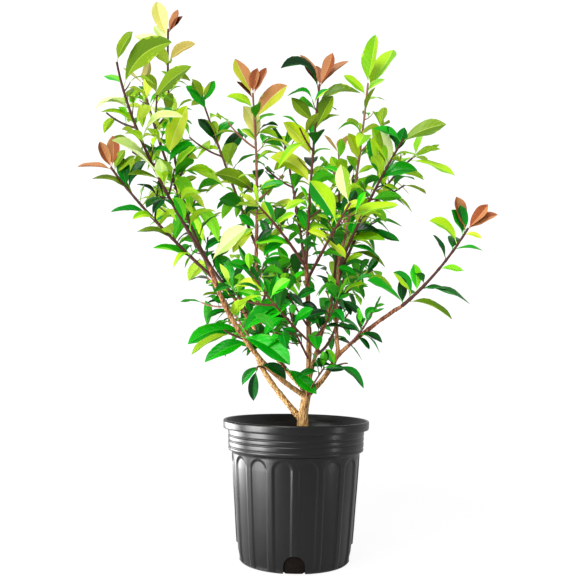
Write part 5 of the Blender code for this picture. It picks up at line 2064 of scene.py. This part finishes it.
strew = random.Random(STREW_SEED)
strewn(ground, BARK_CHIPS, BARK_SIZES, BARK_FLATNESS, strew, CHIP_SLOT)
strewn(ground, PERLITE_GRAINS, PERLITE_SIZES, PERLITE_FLATNESS, strew, PERLITE_SLOT)
# The compost is dark brown of its own, and its near-black here also paints the shade in the pot that the
# drains show
mix = ground.as_piece("potting_mix", [soil_finish("moist_compost", "#050403", "#150D08", grain_mm=3.0),
                                      soil_finish("bark_chips", "#3A2414", "#7A5230", grain_mm=4.0),
                                      soil_finish("perlite", "#C8C4BA", "#F2F0EA", grain_mm=1.5)],
                      SOIL_SHARP_ANGLE)
dress(mix, ["soil"])

# %% [markdown]
# ## The studio
# The plant was photographed on seamless white. Broad light comes from the upper left and
# front. Three soft boxes on the left draw the grey sheens down the pot: a large one for
# the whole, a low one for the flutes in front, and one set back for the far edge. A thin
# strip on the right marks the band under the rim. The white surround is brighter to the
# camera than to the plant, as in a studio whose backdrop has lamps of its own, so the
# leaves keep their shading against it. The paper floor glows a little for the same reason.

# %% Floor and light
WHITE = (1.0, 1.0, 1.0, 1.0)
FLOOR_SIZE = 12.0
FLOOR_DROP = 0.0005
FLOOR_TONE = "#C4C4C4"
FLOOR_GLOW = 1.05
FLOOR_SHADE = 0.12
SURROUND_LIGHT = 0.68
BACKDROP_LIGHT = 1.1
# Place and aim of the broad light, its strength, and its spread in degrees
KEY = ((-0.8, -1.7, 2.3), (0, 0, 0.4), 2.5, 30)
# Name, place, aim, width, height, power in watts, spread in degrees
SOFT_BOXES = (
    ("left_box", (-1.35, -1.15, 0.36), (0, 0, 0.12), 1.0, 0.7, 14, 180),
    ("low_box", (-0.78, -0.42, 0.14), (-0.1, -0.08, 0.05), 0.5, 0.34, 4.0, 100),
    ("edge_box", (-0.85, 0.4, 0.1), (-0.14, 0.0, 0.06), 0.8, 0.3, 2.2, 60),
    ("right_strip", (0.85, -0.42, 0.14), (0.05, 0, 0.12), 0.06, 0.26, 0.22, 100),
)


def light_studio():
    """A white backdrop that lights the plant less than it lights the picture."""
    world = bpy.data.worlds.new("white_studio")
    bpy.context.scene.world = world
    world.use_nodes = True
    surround = world.node_tree.nodes["Background"]
    surround.inputs["Color"].default_value = WHITE
    surround.inputs["Strength"].default_value = SURROUND_LIGHT
    backdrop = add_node(world, "ShaderNodeBackground", {"Color": WHITE, "Strength": BACKDROP_LIGHT})
    seen = add_node(world, "ShaderNodeLightPath")
    mixed = add_node(world, "ShaderNodeMixShader", links={
        "Fac": seen.outputs["Is Camera Ray"], 1: surround.outputs[0], 2: backdrop.outputs[0]})
    world.node_tree.links.new(mixed.outputs[0], world.node_tree.nodes["World Output"].inputs["Surface"])


def aim(name, light, place, spot):
    lamp = bpy.data.objects.new(name, light)
    lamp.location = place
    lamp.rotation_euler = (Vector(spot) - Vector(place)).to_track_quat("-Z", "Y").to_euler()
    bpy.context.scene.collection.objects.link(lamp)


def far_light(name, place, spot, strength, spread):
    """Parallel light from far off, soft by its spread in degrees."""
    light = bpy.data.lights.new(name, "SUN")
    light.energy = strength
    light.angle = math.radians(spread)
    aim(name, light, place, spot)


def soft_box(name, place, spot, width, height, power, spread):
    """A rectangular area light that looks at a spot, with its spread in degrees."""
    light = bpy.data.lights.new(name, "AREA")
    light.shape = "RECTANGLE"
    light.size = width
    light.size_y = height
    light.energy = power
    light.spread = math.radians(spread)
    aim(name, light, place, spot)


def lay_floor():
    bpy.ops.mesh.primitive_plane_add(size=FLOOR_SIZE, location=(0, 0, -FLOOR_DROP))
    floor = bpy.context.active_object
    floor.name = "studio_floor"
    paper, shader = new_finish("seamless_paper", FLOOR_TONE, roughness=0.9)
    glow = add_node(paper, "ShaderNodeEmission", {"Strength": FLOOR_GLOW})
    seen = add_node(paper, "ShaderNodeLightPath")
    share = add_node(paper, "ShaderNodeMath", {"operation": "MULTIPLY", 1: 1 - FLOOR_SHADE},
                     {0: seen.outputs["Is Camera Ray"]})
    mixed = add_node(paper, "ShaderNodeMixShader", links={
        "Fac": share.outputs[0], 1: shader.outputs[0], 2: glow.outputs[0]})
    feed(paper, paper.node_tree.nodes["Material Output"], "Surface", mixed.outputs[0])
    floor.data.materials.append(paper)


light_studio()
far_light("key", *KEY)
for row in SOFT_BOXES:
    soft_box(*row)
lay_floor()
bpy.context.scene.view_settings.view_transform = "Standard"
print("The floor is", FLOOR_SIZE, "m wide, and", len(SOFT_BOXES), "soft boxes light the pot")
